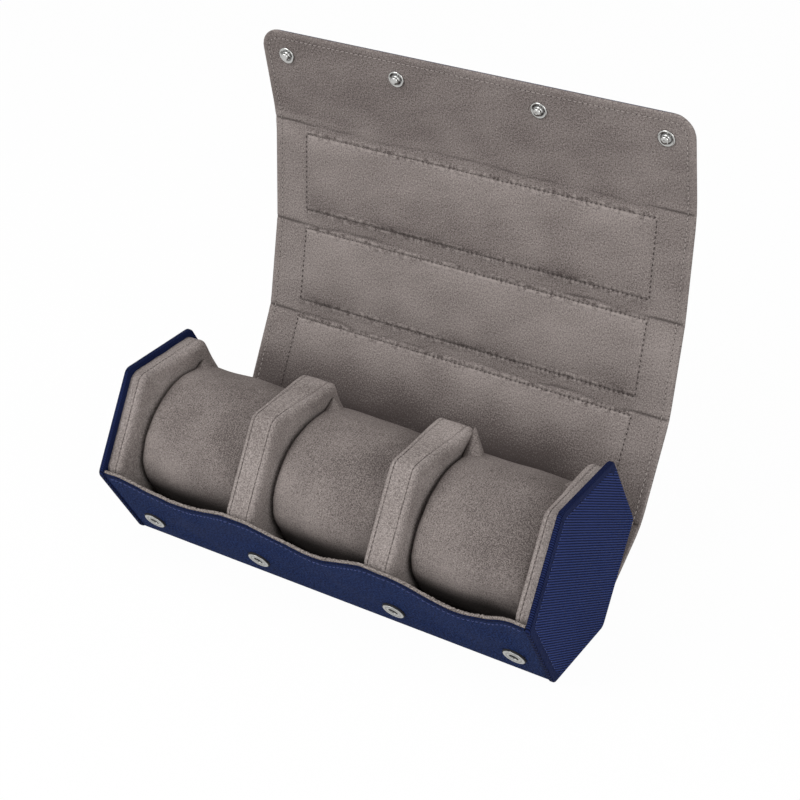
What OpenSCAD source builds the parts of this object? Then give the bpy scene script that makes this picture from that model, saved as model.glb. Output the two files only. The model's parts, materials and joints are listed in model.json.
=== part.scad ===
// Watch travel case. A hexagonal tray holds three cushions between padded dividers. Its lid unrolls
// in five stiff panels, folds round the tray and closes with four press studs on the front lip.
// +X runs along the case, -Y is the front, +Z is up, and the origin is the middle of the base's face.

/* [Case] */
// Length over the two end panels
case_len = 217; // [205:1:240]
// Height of the end panels
case_h = 84; // [80:1:96]
// Width of the flat base, and of the flat top when the case is closed
flat_w = 44.5; // [42:0.5:54]
// Radius of the end panels' corners
rim_r = 3.5; // [1:0.5:5]

/* [End panels] */
// Thickness of an end panel
end_t = 2.5; // [2.2:0.1:3.5]
// Thickness of the cloth round an end panel's board
end_cloth_t = 0.6; // [0.4:0.1:0.8]
// Thickness of the pad inside each end panel
end_pad_t = 7; // [6:0.5:9]

/* [Dividers] */
// Thickness of a divider
divider_t = 14; // [11:0.5:17]
// Distance of a divider's middle from the middle of the case
divider_x = 35; // [33:0.5:37]
// Thickness of the board inside a divider
divider_board_t = 3; // [2:0.5:5]
// Foam between a divider's board and its edge
divider_foam_t = 6; // [4:0.5:9]
// Radius of the corners of dividers and end pads
pad_r = 4; // [2:0.5:5]
// Distance of a piped seam from the face beside it
seam_in = 1.8; // [1.4:0.1:2.2]
// How far a piped seam stands out of the band beside it
seam_rise = 0.4; // [0.2:0.1:1]
// How far a pad's edge rolls in from its seam to its face
face_roll = 1.8; // [1:0.1:2.4]

/* [Wrap] */
// Thickness of the outer cloth of the wrap
cover_t = 0.8; // [0.6:0.1:1]
// Thickness of the suede lining with its backing
lining_t = 1.3; // [1.1:0.1:1.5]
// Thickness of the lining where it passes over a board
skin_t = 0.7; // [0.5:0.1:0.9]
// Thickness of a lid board
board_t = 1.2; // [1:0.1:1.4]
// Thickness of the base board
base_board_t = 2; // [1:0.1:3]
// Gap between the wrap and each end panel
side_gap = 0.3; // [0.2:0.1:0.6]
// Gap round the bead of a fold
fold_gap = 0.2; // [0.15:0.05:0.3]
// Gap between soft pieces that close on each other
fit_gap = 0.3; // [0.2:0.1:0.5]

/* [Lid] */
// Width of the stitched rectangles over the lid's boards
quilt_w = 177; // [160:1:185]
// Suede between a stitched rectangle's edge and its board
quilt_seam = 1.5; // [1:0.1:2.5]
// Length of the flap past the last fold
flap_len = 46.5; // [40:0.1:46.6]
// Radius of the flap's two free corners
flap_r = 10; // [4:0.5:16]
// How far the front panel leans out to clear the lip when closed, in degrees
front_lean = 2; // [1.5:0.1:2.5]

/* [Lid at rest] */
// Tilt of the lower back panel from level, in degrees
back_lower_tilt = 35; // [0:1:60]
// Tilt of the upper back panel
back_upper_tilt = 62; // [35:1:120]
// Tilt of the top panel
top_tilt = 79; // [62:1:180]
// Tilt of the upper front panel
front_upper_tilt = 87; // [79:1:238]
// Tilt of the flap
flap_tilt = 102; // [87:1:300]

/* [Front lip] */
// How far the lip lies behind the end panels' edge
lip_recess = 0.8; // [0.6:0.1:1.2]
// How far the lip's top stays below the end panels' front corner
lip_below = 0.4; // [0.4:0.1:3]
// How far the lip dips between the dividers
lip_dip = 9.5; // [0:0.5:11]
// How far the suede edge shows above the lip's cloth
lip_edge = 0.4; // [0:0.1:0.4]
// Inner radius of the turn from the base into the lip
turn_r = 1; // [0.5:0.1:2]

/* [Press studs] */
// Distance of the sockets above the lip's lower edge
snap_up = 14; // [9:0.5:20]
// Distance of the outer press studs from the case's ends
snap_end = 15.5; // [15:0.5:22]
// Radius of a socket
socket_r = 5; // [4:0.1:6]
// Height of a socket above the lip
socket_t = 0.8; // [0.6:0.1:1]
// Radius of a socket's hole
socket_hole_r = 2.3; // [2.2:0.05:2.5]
// Wall round a socket's hole
socket_wall = 0.6; // [0.4:0.1:0.8]
// Radius of the clinched ring behind a socket
clinch_r = 4.2; // [3.8:0.1:5]
// Thickness of the clinched ring
clinch_t = 0.5; // [0.3:0.1:0.7]
// Radius of a stud's ring
stud_r = 3.6; // [3:0.1:4.5]
// Height of a stud's ring above the lining
stud_ring_t = 0.4; // [0.3:0.1:0.6]
// Radius of a stud's nub
nub_r = 1.9; // [1.5:0.1:1.9]
// Height of a nub above the lining
nub_h = 2.2; // [1.6:0.1:2.8]
// Radius of a cap on the outside of the flap
cap_r = 5.5; // [4.5:0.1:6.5]
// Height of a cap above the cloth
cap_t = 0.5; // [0.3:0.1:0.5]
// Radius of the post that joins a cap to its stud
post_r = 1.2; // [0.9:0.1:1.4]

/* [Cushions] */
// Depth of a cushion from front to back
cushion_w = 74; // [66:1:76]
// Height of a cushion
cushion_h = 70; // [60:1:73]
// Distance of a cushion's middle behind the middle of the case
cushion_back = 4; // [2:0.5:5]
// Gap between a cushion and what stands beside it
cushion_gap = 0.4; // [0.3:0.1:1]
// Room between a cushion's front and the lip
front_room = 2.5; // [0.5:0.5:4]
// Radius of a cushion's rolled ends
end_roll = 5.5; // [4:0.5:12]
// How far a cushion's ends draw in from its crown
crown = 1.5; // [0:0.1:2.5]
// Height of the gathered corners at the upper back
ear_h = 10; // [4:0.5:12]
// Distance of a gathered corner's peak from the cushion's end
ear_in = 4.5; // [3:0.5:7]

/* [Hidden] */

NAVY = [0.13, 0.17, 0.33];
SUEDE = [0.56, 0.52, 0.50];
SUEDE_DARK = [0.48, 0.45, 0.43];
BOARD = [0.62, 0.57, 0.48];
NICKEL = [0.78, 0.78, 0.77];

$fn = 48;
far = case_len / 2;        // reach of cutting shapes, past anything that they cut
corner = 60;               // turn at each corner of the case
arc_steps = 4;             // straight steps in a rounded corner

// Faces of the case in turn round its end: base, lower back, upper back, top, upper front, lower front
FACE_ANGLES = [270, 330, 30, 90, 150, 210];
BASE = 0;
UPPER_FRONT = 4;
LOWER_FRONT = 5;

slant = case_h / 2 / sin(corner);
half_w = flat_w / 2 + case_h / 2 / tan(corner);
end_in = case_len / 2 - end_t;
pad_in = end_in - end_pad_t;
wrap_half = end_in - side_gap;

border_t = cover_t + lining_t;
quilt_t = cover_t + board_t + skin_t;
lip_in = lip_recess + border_t;
floor_z = cover_t + base_board_t + lining_t;

// How far each face of a divider, or of an end pad, lies inside the end panel's edge
divider_insets = face_insets(floor_z, quilt_t + fit_gap, lip_in);
pad_insets = face_insets(floor_z, border_t + fit_gap, lip_in);
cushion_insets = face_insets(floor_z + fit_gap, quilt_t + 2 * fit_gap, lip_in + front_room);

// ---- the hexagon ----

function unit(a) = [cos(a), sin(a)];
function outward(i) = unit(FACE_ANGLES[i]);
function face_insets(base, lid, lip) = [base, lid, lid, lid, lid, lip];
function face_dist(i) = i % 3 == 0 ? case_h / 2 : half_w * cos(corner / 2);

// Corner between face i and the next, with every face moved in by its inset, as [y, z]
function hex_corner(i, insets) =
    let (
        k = (i + 1) % 6,
        p = FACE_ANGLES[i],
        q = FACE_ANGLES[k],
        a = face_dist(i) - insets[i],
        b = face_dist(k) - insets[k]
    )
    [0, case_h / 2] + (a * [sin(q), -cos(q)] - b * [sin(p), -cos(p)]) / sin(q - p);

// The same corner rounded to radius r
function corner_arc(i, insets, r) =
    let (c = hex_corner(i, [for (d = insets) d + r]))
    [for (j = [0 : arc_steps]) c + r * unit(FACE_ANGLES[i] + j * corner / arc_steps)];

function hex_ring(insets, r) = [for (i = [0 : 5]) each corner_arc(i, insets, r)];
function all_faces(inset) = [for (i = [0 : 5]) inset];

// ---- the lid's folds ----

// Half the cloth's thickness: each fold turns about the middle of the cloth
mid = cover_t / 2;
fold_in = mid / tan(corner);
hinge = [flat_w / 2 - fold_in, mid];

// The last fold when closed: on the leaning front panel, where the flap clears the press studs
stud_room = socket_t + stud_ring_t + fit_gap;
flap_out = stud_room + lining_t + mid - lip_recess;
front_corner = [-half_w, case_h / 2];
top_fold = [-flat_w / 2 + fold_in, case_h - mid];
lip_out = outward(LOWER_FRONT);
lip_down = unit(FACE_ANGLES[LOWER_FRONT] + 90);
lean_dir = unit(FACE_ANGLES[UPPER_FRONT] + 90 - front_lean);
front_len = (flap_out - (top_fold - front_corner) * lip_out) / (lean_dir * lip_out);
flap_fold = top_fold + front_len * lean_dir;
stud_y = slant - snap_up - (flap_fold - front_corner) * lip_down;

panel_lens = [slant - 2 * fold_in, slant - 2 * fold_in, flat_w - 2 * fold_in, front_len, flap_len];
tilts = [back_lower_tilt, back_upper_tilt, top_tilt, front_upper_tilt, flap_tilt];
function fold_at(i) = i == 0 ? hinge : fold_at(i - 1) + panel_lens[i - 1] * unit(tilts[i - 1]);

// Stitched rectangle on each boarded panel: its distance from the fold below and from the fold above
quilt_margins = [[6, 5], [8, 2.5], [6.5, 2.1], [7.4, 5.4]];

// The lining is cut back at each fold so that two panels meet without touching when closed
function mitre(z) = z * tan((corner + front_lean) / 2) + fit_gap / 2;

// ---- helpers ----

// Extrudes a [y, z] outline along the case, centred
module across(w) {
    rotate([90, 0, 90])
        linear_extrude(height = w, center = true)
            children();
}

// Extrudes a [y, z] outline from x0 to x1
module between(x0, x1) {
    translate([(x0 + x1) / 2, 0, 0])
        across(abs(x1 - x0))
            children();
}

// Closed solid through rings of points, each ring seen from +X in the same turn
module loft(rings) {
    n = len(rings[0]);
    last = len(rings) - 1;
    points = [each [for (ring = rings) each ring], middle(rings[0]), middle(rings[last])];
    sides = [
        for (i = [0 : last - 1], j = [0 : n - 1])
            let (a = i * n + j, b = i * n + (j + 1) % n)
            each [[a, b + n, b], [a, a + n, b + n]]
    ];
    first_cap = [for (j = [0 : n - 1]) [n * (last + 1), j, (j + 1) % n]];
    last_cap = [for (j = [0 : n - 1]) [n * (last + 1) + 1, n * last + (j + 1) % n, n * last + j]];
    polyhedron(points = points, faces = concat(sides, first_cap, last_cap));
}
function middle(ring) = ([for (p = ring) 1] * ring) / len(ring);

// Frame of the lower front face: origin on its lower edge, Y up the face, Z outward
module on_lip() {
    translate([0, -flat_w / 2, 0])
        rotate([180 - corner, 0, 0])
            children();
}

module on_panel(i) {
    at = fold_at(i);
    translate([0, at.x, at.y])
        rotate([tilts[i], 0, 0])
            children();
}

module at_snaps() {
    outer_x = case_len / 2 - snap_end;
    for (x = [-outer_x, -divider_x, divider_x, outer_x])
        translate([x, 0, 0])
            children();
}

// ---- tray ----

divider_half = divider_t / 2;
bay_edges = [
    [-pad_in, -divider_x - divider_half],
    [-divider_x + divider_half, divider_x - divider_half],
    [divider_x + divider_half, pad_in]
];

// The lip dips least in the left bay and most in the right one
dip_shares = [0.85, 1, 1.1];
dip_shape = 1.2;           // the lower, the flatter the dips and the steeper their sides

// Height of the lip's top edge along the lower front face
function lip_top(x) =
    let (dips = [
        for (i = [0 : 2])
            let (bay = bay_edges[i])
            if (x > bay[0] && x < bay[1])
                dip_shares[i] * pow(sin(180 * (x - bay[0]) / (bay[1] - bay[0])), dip_shape)
    ])
    slant - lip_below - (len(dips) > 0 ? lip_dip * dips[0] : 0);

// Everything that lies under the lip's top edge, raised by rise
module under_lip_top(rise) {
    steps = 90;
    xs = [for (i = [0 : steps]) -wrap_half + 2 * wrap_half * i / steps];
    on_lip()
        translate([0, 0, -far])
            linear_extrude(height = 2 * far)
                polygon(concat(
                    [[wrap_half, -far], [-wrap_half, -far]],
                    [for (x = xs) [x, lip_top(x) + rise]]
                ));
}

// Sheet that covers the base and turns up into the lip. It lies z0 to z1 above the base and
// in0 to in1 inside the lower front face
module tray_sheet(back_y, z0, z1, in0, in1, rise) {
    outside = [z0, 0, 0, 0, -lip_edge, in0];
    inside = [z1, 0, 0, 0, -lip_edge, in1];
    inner_turn = corner_arc(LOWER_FRONT, inside, turn_r);
    intersection() {
        across(2 * wrap_half)
            polygon(concat(
                [hex_corner(4, outside)],
                corner_arc(LOWER_FRONT, outside, turn_r + z1 - z0),
                [[back_y, z0], [back_y, z1]],
                [for (i = [len(inner_turn) - 1 : -1 : 0]) inner_turn[i]],
                [hex_corner(4, inside)]
            ));
        under_lip_top(rise);
    }
}

module tray_cover() {
    color(NAVY)
        difference() {
            tray_sheet(hinge.x, 0, cover_t, lip_recess, lip_recess + cover_t, 0);
            translate([0, hinge.x, hinge.y])
                rotate([0, 90, 0])
                    cylinder(r = mid + fold_gap, h = 2 * case_len, center = true);
            on_lip()
                at_snaps()
                    translate([0, snap_up, -far / 2])
                        cylinder(r = socket_hole_r + socket_wall, h = far);
        }
}

// Back edge of the base board and of the lining over it, clear of the lower back panel when closed
floor_back = hex_corner(BASE, [cover_t, border_t + fit_gap, 0, 0, 0, 0]).x;

module base_board() {
    front = corner_arc(LOWER_FRONT, [cover_t, 0, 0, 0, 0, lip_recess + cover_t], turn_r)[arc_steps].x;
    color(BOARD)
        translate([-wrap_half, front, cover_t])
            cube([2 * wrap_half, floor_back - front, base_board_t]);
}

module tray_lining() {
    color(SUEDE_DARK)
        difference() {
            tray_sheet(floor_back, cover_t + base_board_t, floor_z, lip_recess + cover_t, lip_in, lip_edge);
            on_lip()
                at_snaps()
                    translate([0, snap_up, -far / 2]) {
                        cylinder(r = socket_hole_r + socket_wall, h = far);
                        cylinder(r = clinch_r, h = far / 2 - lip_in + clinch_t);
                    }
        }
}

module end_cover(side) {
    between(side * end_in, side * case_len / 2)
        polygon(hex_ring(all_faces(0), rim_r));
}

module end_board(side) {
    between(side * (end_in + end_cloth_t), side * (case_len / 2 - end_cloth_t))
        polygon(hex_ring(all_faces(end_cloth_t), rim_r - end_cloth_t));
}

module end_cover_left() {
    color(NAVY)
        difference() {
            end_cover(-1);
            end_board(-1);
        }
}

module end_cover_right() {
    color(NAVY)
        difference() {
            end_cover(1);
            end_board(1);
        }
}

module end_board_left() {
    color(BOARD)
        end_board(-1);
}

module end_board_right() {
    color(BOARD)
        end_board(1);
}

// One ring of a padded block: at x, with every face drawn in further by extra
function pad_ring(x, insets, extra) =
    [for (p = hex_ring([for (d = insets) d + extra], max(pad_r - extra, 0.8))) [x, p.x, p.y]];

// How a padded block's outline draws in with depth from its face: rolled edge, piped seam, then band
function pad_profile() = [
    [0, face_roll],
    [seam_in * 0.3, face_roll * 0.4],
    [seam_in * 0.7, face_roll * 0.1],
    [seam_in, 0],
    [seam_in * 1.4, seam_rise * 0.5],
    [seam_in * 1.7, seam_rise]
];

module padded_divider(middle_x) {
    face = pad_profile();
    last = len(face) - 1;
    loft(concat(
        [for (s = face) pad_ring(middle_x - divider_half + s[0], divider_insets, s[1])],
        [for (i = [0 : last]) let (s = face[last - i]) pad_ring(middle_x + divider_half - s[0], divider_insets, s[1])]
    ));
}

module divider_core(middle_x) {
    between(middle_x - divider_board_t / 2, middle_x + divider_board_t / 2)
        polygon(hex_ring([for (d = divider_insets) d + divider_foam_t], pad_r));
}

module divider_left() {
    color(SUEDE)
        difference() {
            padded_divider(-divider_x);
            divider_core(-divider_x);
        }
}

module divider_right() {
    color(SUEDE)
        difference() {
            padded_divider(divider_x);
            divider_core(divider_x);
        }
}

module divider_board_left() {
    color(BOARD)
        divider_core(-divider_x);
}

module divider_board_right() {
    color(BOARD)
        divider_core(divider_x);
}

module end_pad(side) {
    face = pad_profile();
    last = len(face) - 1;
    mirror([side > 0 ? 1 : 0, 0, 0])
        loft(concat(
            [pad_ring(-end_in, pad_insets, seam_rise)],
            [for (i = [0 : last]) let (s = face[last - i]) pad_ring(-pad_in - s[0], pad_insets, s[1])]
        ));
}

module end_pad_left() {
    color(SUEDE)
        end_pad(-1);
}

module end_pad_right() {
    color(SUEDE)
        end_pad(1);
}

// ---- press studs on the lip ----

module snap_sockets() {
    color(NICKEL)
        on_lip()
            at_snaps()
                translate([0, snap_up, -lip_recess])
                    rotate_extrude()
                        polygon([
                            [socket_hole_r, -border_t],
                            [socket_hole_r + socket_wall, -border_t],
                            [socket_hole_r + socket_wall, 0],
                            [socket_r, 0],
                            [socket_r, socket_t * 0.4],
                            [socket_r - 0.4, socket_t],
                            [socket_r - 1.2, socket_t],
                            [socket_r - 1.6, socket_t * 0.6],
                            [socket_hole_r + 0.3, socket_t * 0.6],
                            [socket_hole_r, socket_t * 0.3]
                        ]);
}

module snap_clinch_rings() {
    color(NICKEL)
        on_lip()
            at_snaps()
                translate([0, snap_up, -lip_in])
                    difference() {
                        cylinder(r = clinch_r, h = clinch_t);
                        translate([0, 0, -clinch_t])
                            cylinder(r = socket_hole_r + socket_wall, h = 3 * clinch_t);
                    }
}

// ---- cushions ----

cushion_mid = [cushion_back, floor_z + fit_gap + cushion_h / 2];
cushion_blend = 16;       // sharpness of the turn where a cushion meets a flat neighbour
cushion_sides = 44;       // points round a cushion
ear_angle = 68;           // direction of a gathered corner from the cushion's middle
ear_spread = 9;           // its width round the cushion, in degrees
ear_reach = 3.5;          // its width along the cushion

// Reciprocal reach from the cushion's middle in direction a to the flat neighbour on face i
function flat_limit(a, i) =
    let (d = face_dist(i) - cushion_insets[i] - (cushion_mid - [0, case_h / 2]) * outward(i))
    max(0, cos(a - FACE_ANGLES[i])) / d;

function sum(v) = [for (n = v) 1] * v;

// Reach of a cushion of half length half in direction a at x: an oval that its neighbours flatten
function cushion_reach(a, x, half) =
    let (
        oval = 1 / norm([cos(a) / cushion_w, sin(a) / cushion_h]) / 2,
        gathered = ear_h * exp(-pow((a - ear_angle) / ear_spread, 2))
            * exp(-pow((half - ear_in - abs(x)) / ear_reach, 2)),
        plain = oval + gathered - crown * pow(x / half, 2),
        limits = [for (i = [0 : 5]) pow(flat_limit(a, i), cushion_blend)]
    )
    pow(pow(plain, -cushion_blend) + sum(limits), -1 / cushion_blend);

function cushion_ring(x, half, drawn_in) = [
    for (j = [0 : cushion_sides - 1])
        let (a = 360 * j / cushion_sides, r = cushion_reach(a, x, half) - drawn_in)
        [x, cushion_mid.x + r * cos(a), cushion_mid.y + r * sin(a)]
];

// Stations along half a cushion, from its middle out: distance from the end, and how far drawn in
cushion_stations = concat(
    [[28, 0], [18, 0], [12.5, 0]],
    [for (f = [0 : 15 : 90]) [end_roll * (1 - sin(f)), end_roll * (1 - cos(f))]]
);

module cushion(bay) {
    half = (bay[1] - bay[0]) / 2 - cushion_gap;
    n = len(cushion_stations) - 1;
    left = [for (i = [0 : n]) let (s = cushion_stations[n - i]) cushion_ring(s[0] - half, half, s[1])];
    right = [for (i = [1 : n]) let (s = cushion_stations[i]) cushion_ring(half - s[0], half, s[1])];
    color(SUEDE)
        translate([(bay[0] + bay[1]) / 2, 0, 0])
            loft(concat(left, right));
}

module cushion_left() {
    cushion(bay_edges[0]);
}

module cushion_middle() {
    cushion(bay_edges[1]);
}

module cushion_right() {
    cushion(bay_edges[2]);
}

// ---- lid panels ----

// Cloth of panel i, with the fold's round bead at its start and room for the next bead at its end
module panel_cloth(i) {
    color(NAVY)
        on_panel(i)
            across(2 * wrap_half)
                difference() {
                    union() {
                        circle(r = mid);
                        translate([0, -mid])
                            square([panel_lens[i], cover_t]);
                    }
                    translate([panel_lens[i], 0])
                        circle(r = mid + fold_gap);
                }
}

// A block with level top and bottom and walls that lean in by lean
module raised_block(w, y0, y1, z0, z1, lean) {
    intersection() {
        across(w)
            polygon([[y0, z0], [y1, z0], [y1 - lean, z1], [y0 + lean, z1]]);
        translate([0, y1, 0])
            rotate([90, 0, 0])
                linear_extrude(height = y1 - y0)
                    polygon([[-w / 2, z0], [w / 2, z0], [w / 2 - lean, z1], [-w / 2 + lean, z1]]);
    }
}

// Board space of panel i, grown by grow on every side but its face on the cloth
module board_block(i) {
    y0 = quilt_margins[i][0] + quilt_seam;
    y1 = panel_lens[i] - quilt_margins[i][1] - quilt_seam;
    translate([-quilt_w / 2 + quilt_seam, y0, mid])
        cube([quilt_w - 2 * quilt_seam, y1 - y0, board_t]);
}

module panel_board(i) {
    color(BOARD)
        on_panel(i)
            board_block(i);
}

function lining_outline(length) =
    let (top = mid + lining_t)
    [[mitre(mid), mid], [length - mitre(mid), mid], [length - mitre(top), top], [mitre(top), top]];

// Lining of panel i, raised over the board in its stitched rectangle
module panel_lining(i) {
    length = panel_lens[i];
    color(SUEDE)
        on_panel(i)
            difference() {
                union() {
                    across(2 * wrap_half)
                        polygon(lining_outline(length));
                    raised_block(
                        quilt_w, quilt_margins[i][0], length - quilt_margins[i][1],
                        mid, quilt_t - mid, quilt_t - border_t
                    );
                }
                board_block(i);
            }
}

module back_lower_cover() {
    panel_cloth(0);
}

module back_lower_board() {
    panel_board(0);
}

module back_lower_lining() {
    panel_lining(0);
}

module back_upper_cover() {
    panel_cloth(1);
}

module back_upper_board() {
    panel_board(1);
}

module back_upper_lining() {
    panel_lining(1);
}

module top_cover() {
    panel_cloth(2);
}

module top_board() {
    panel_board(2);
}

module top_lining() {
    panel_lining(2);
}

module front_upper_cover() {
    panel_cloth(3);
}

module front_upper_board() {
    panel_board(3);
}

module front_upper_lining() {
    panel_lining(3);
}

// ---- flap ----

// Everything inside the flap's outline, with its two free corners round
module flap_outline() {
    translate([0, 0, -far]) {
        linear_extrude(height = 2 * far)
            translate([-wrap_half, -far])
                square([2 * wrap_half, far + flap_len - flap_r]);
        linear_extrude(height = 2 * far)
            translate([-wrap_half + flap_r, -far])
                square([2 * (wrap_half - flap_r), far + flap_len]);
        for (side = [-1, 1])
            translate([side * (wrap_half - flap_r), flap_len - flap_r, 0])
                cylinder(r = flap_r, h = 2 * far);
    }
}

module post_holes() {
    at_snaps()
        translate([0, stud_y, -far / 2])
            cylinder(r = post_r, h = far);
}

module flap_cover() {
    color(NAVY)
        on_panel(4)
            difference() {
                intersection() {
                    across(2 * wrap_half) {
                        circle(r = mid);
                        translate([0, -mid])
                            square([flap_len, cover_t]);
                    }
                    flap_outline();
                }
                post_holes();
            }
}

module flap_lining() {
    top = mid + lining_t;
    color(SUEDE)
        on_panel(4)
            difference() {
                intersection() {
                    across(2 * wrap_half)
                        polygon([[mitre(mid), mid], [flap_len, mid], [flap_len, top], [mitre(top), top]]);
                    flap_outline();
                }
                post_holes();
            }
}

module snap_studs() {
    color(NICKEL)
        on_panel(4)
            at_snaps()
                translate([0, stud_y, mid + lining_t])
                    rotate_extrude()
                        polygon([
                            [0, 0],
                            [stud_r, 0],
                            [stud_r, stud_ring_t * 0.5],
                            [stud_r - 0.3, stud_ring_t],
                            [nub_r + 0.4, stud_ring_t],
                            [nub_r * 0.75, stud_ring_t * 1.6],
                            [nub_r, nub_h * 0.6],
                            [nub_r, nub_h * 0.75],
                            [nub_r * 0.7, nub_h],
                            [0, nub_h]
                        ]);
}

module snap_caps() {
    color(NICKEL)
        on_panel(4)
            at_snaps()
                translate([0, stud_y, -mid])
                    rotate_extrude()
                        polygon([
                            [0, -cap_t],
                            [cap_r * 0.6, -cap_t],
                            [cap_r * 0.9, -cap_t * 0.6],
                            [cap_r, 0],
                            [post_r, 0],
                            [post_r, border_t],
                            [0, border_t]
                        ]);
}

tray_cover();
base_board();
tray_lining();
end_cover_left();
end_cover_right();
end_board_left();
end_board_right();
end_pad_left();
end_pad_right();
divider_left();
divider_right();
divider_board_left();
divider_board_right();
snap_sockets();
snap_clinch_rings();
cushion_left();
cushion_middle();
cushion_right();
back_lower_cover();
back_lower_board();
back_lower_lining();
back_upper_cover();
back_upper_board();
back_upper_lining();
top_cover();
top_board();
top_lining();
front_upper_cover();
front_upper_board();
front_upper_lining();
flap_cover();
flap_lining();
snap_studs();
snap_caps();
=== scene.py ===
"""The looks of the watch travel case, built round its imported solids.

Lengths in this file are millimetres, and a mesh is put into Blender in metres. The frame is the solids' own:
+X runs along the case, -Y is the front, +Z is up, and the origin is the middle of the base's lower face.
"""

from __future__ import annotations

import json
import logging
import math
from dataclasses import dataclass, field
from enum import Enum
from typing import Callable, Mapping, Sequence

import bmesh
import bpy
import numpy as np
from mathutils import Matrix, Vector

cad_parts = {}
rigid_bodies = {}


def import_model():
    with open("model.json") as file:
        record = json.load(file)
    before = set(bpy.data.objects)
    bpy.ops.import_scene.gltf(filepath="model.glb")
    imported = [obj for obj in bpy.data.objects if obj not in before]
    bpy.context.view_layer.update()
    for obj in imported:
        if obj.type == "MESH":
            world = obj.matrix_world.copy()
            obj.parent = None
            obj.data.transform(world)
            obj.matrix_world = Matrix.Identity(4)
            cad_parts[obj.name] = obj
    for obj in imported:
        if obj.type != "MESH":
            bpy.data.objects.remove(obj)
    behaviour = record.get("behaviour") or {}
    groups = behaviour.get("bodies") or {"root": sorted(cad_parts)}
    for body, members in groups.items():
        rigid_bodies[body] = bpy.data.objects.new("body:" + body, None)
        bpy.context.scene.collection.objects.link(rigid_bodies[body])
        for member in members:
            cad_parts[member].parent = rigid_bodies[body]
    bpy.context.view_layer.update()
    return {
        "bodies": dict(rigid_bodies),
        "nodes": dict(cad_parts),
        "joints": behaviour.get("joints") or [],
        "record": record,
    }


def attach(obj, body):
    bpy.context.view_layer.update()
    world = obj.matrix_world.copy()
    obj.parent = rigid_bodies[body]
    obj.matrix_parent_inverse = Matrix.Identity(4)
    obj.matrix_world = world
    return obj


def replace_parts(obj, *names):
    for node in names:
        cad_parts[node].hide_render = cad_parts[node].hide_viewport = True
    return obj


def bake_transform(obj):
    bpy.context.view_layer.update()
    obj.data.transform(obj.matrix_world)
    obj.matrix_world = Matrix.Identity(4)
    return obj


MM = 0.001
CORNER = math.radians(60)  # turn from one face of the case's section to the next
LATHE_STEPS = 40
SHARP = math.radians(66)  # an edge that turns further than this is shaded sharp
WELD = 1e-7
LOG = logging.getLogger("watch_case")
Array = np.ndarray
Colour = tuple[float, float, float, float]
Faces = list[list[int]]
Inputs = Mapping[int | str, object]
Marks = dict[str, Array]
Material = bpy.types.Material
Piece = bpy.types.Object
Rows = list[tuple[Array, Array]]


class Side(Enum):
    """The two ends of the case, as the sign of x."""

    LEFT = -1
    RIGHT = 1

    @property
    def word(self) -> str:
        """Name of the side, as the solids' names end."""
        return self.name.lower()


class Follow(Enum):
    """What a finish's pattern follows: the piece's own place, or its cloth laid flat."""

    PLACE = "Object"
    CLOTH = "UV"


def srgb(red: float, green: float, blue: float) -> Colour:
    """Turns a colour of 0 to 255 as a screen shows it into the linear values that a shader takes.

    Args:
        red: Red part.
        green: Green part.
        blue: Blue part.

    Returns:
        Linear red, green, blue and an alpha of 1.
    """
    parts = np.array([red, green, blue]) / 255
    linear = np.where(parts <= 0.04045, parts / 12.92, ((parts + 0.055) / 1.055) ** 2.4)
    return (float(linear[0]), float(linear[1]), float(linear[2]), 1.0)


# ---- shader bench ----


class Signal:
    """A node's output that takes part in Python expressions. Each operator adds a Math node."""

    def __init__(self, bench: Bench, socket: bpy.types.NodeSocket) -> None:
        """Wraps a socket of a bench's node tree."""
        self.bench = bench
        self.socket = socket

    def __add__(self, other: Signal | float) -> Signal:
        """Sum."""
        return self.bench.math("ADD", self, other)

    def __radd__(self, other: float) -> Signal:
        """Sum with a number on the left."""
        return self.bench.math("ADD", other, self)

    def __sub__(self, other: Signal | float) -> Signal:
        """Difference."""
        return self.bench.math("SUBTRACT", self, other)

    def __rsub__(self, other: float) -> Signal:
        """Difference from a number."""
        return self.bench.math("SUBTRACT", other, self)

    def __mul__(self, other: Signal | float) -> Signal:
        """Product."""
        return self.bench.math("MULTIPLY", self, other)

    def __rmul__(self, other: float) -> Signal:
        """Product with a number on the left."""
        return self.bench.math("MULTIPLY", other, self)

    def sine(self) -> Signal:
        """Sine of the value, in radians."""
        return self.bench.math("SINE", self)

    def held(self) -> Signal:
        """The value held between 0 and 1."""
        return self.bench.math("MINIMUM", self.bench.math("MAXIMUM", self, 0.0), 1.0)


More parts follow.
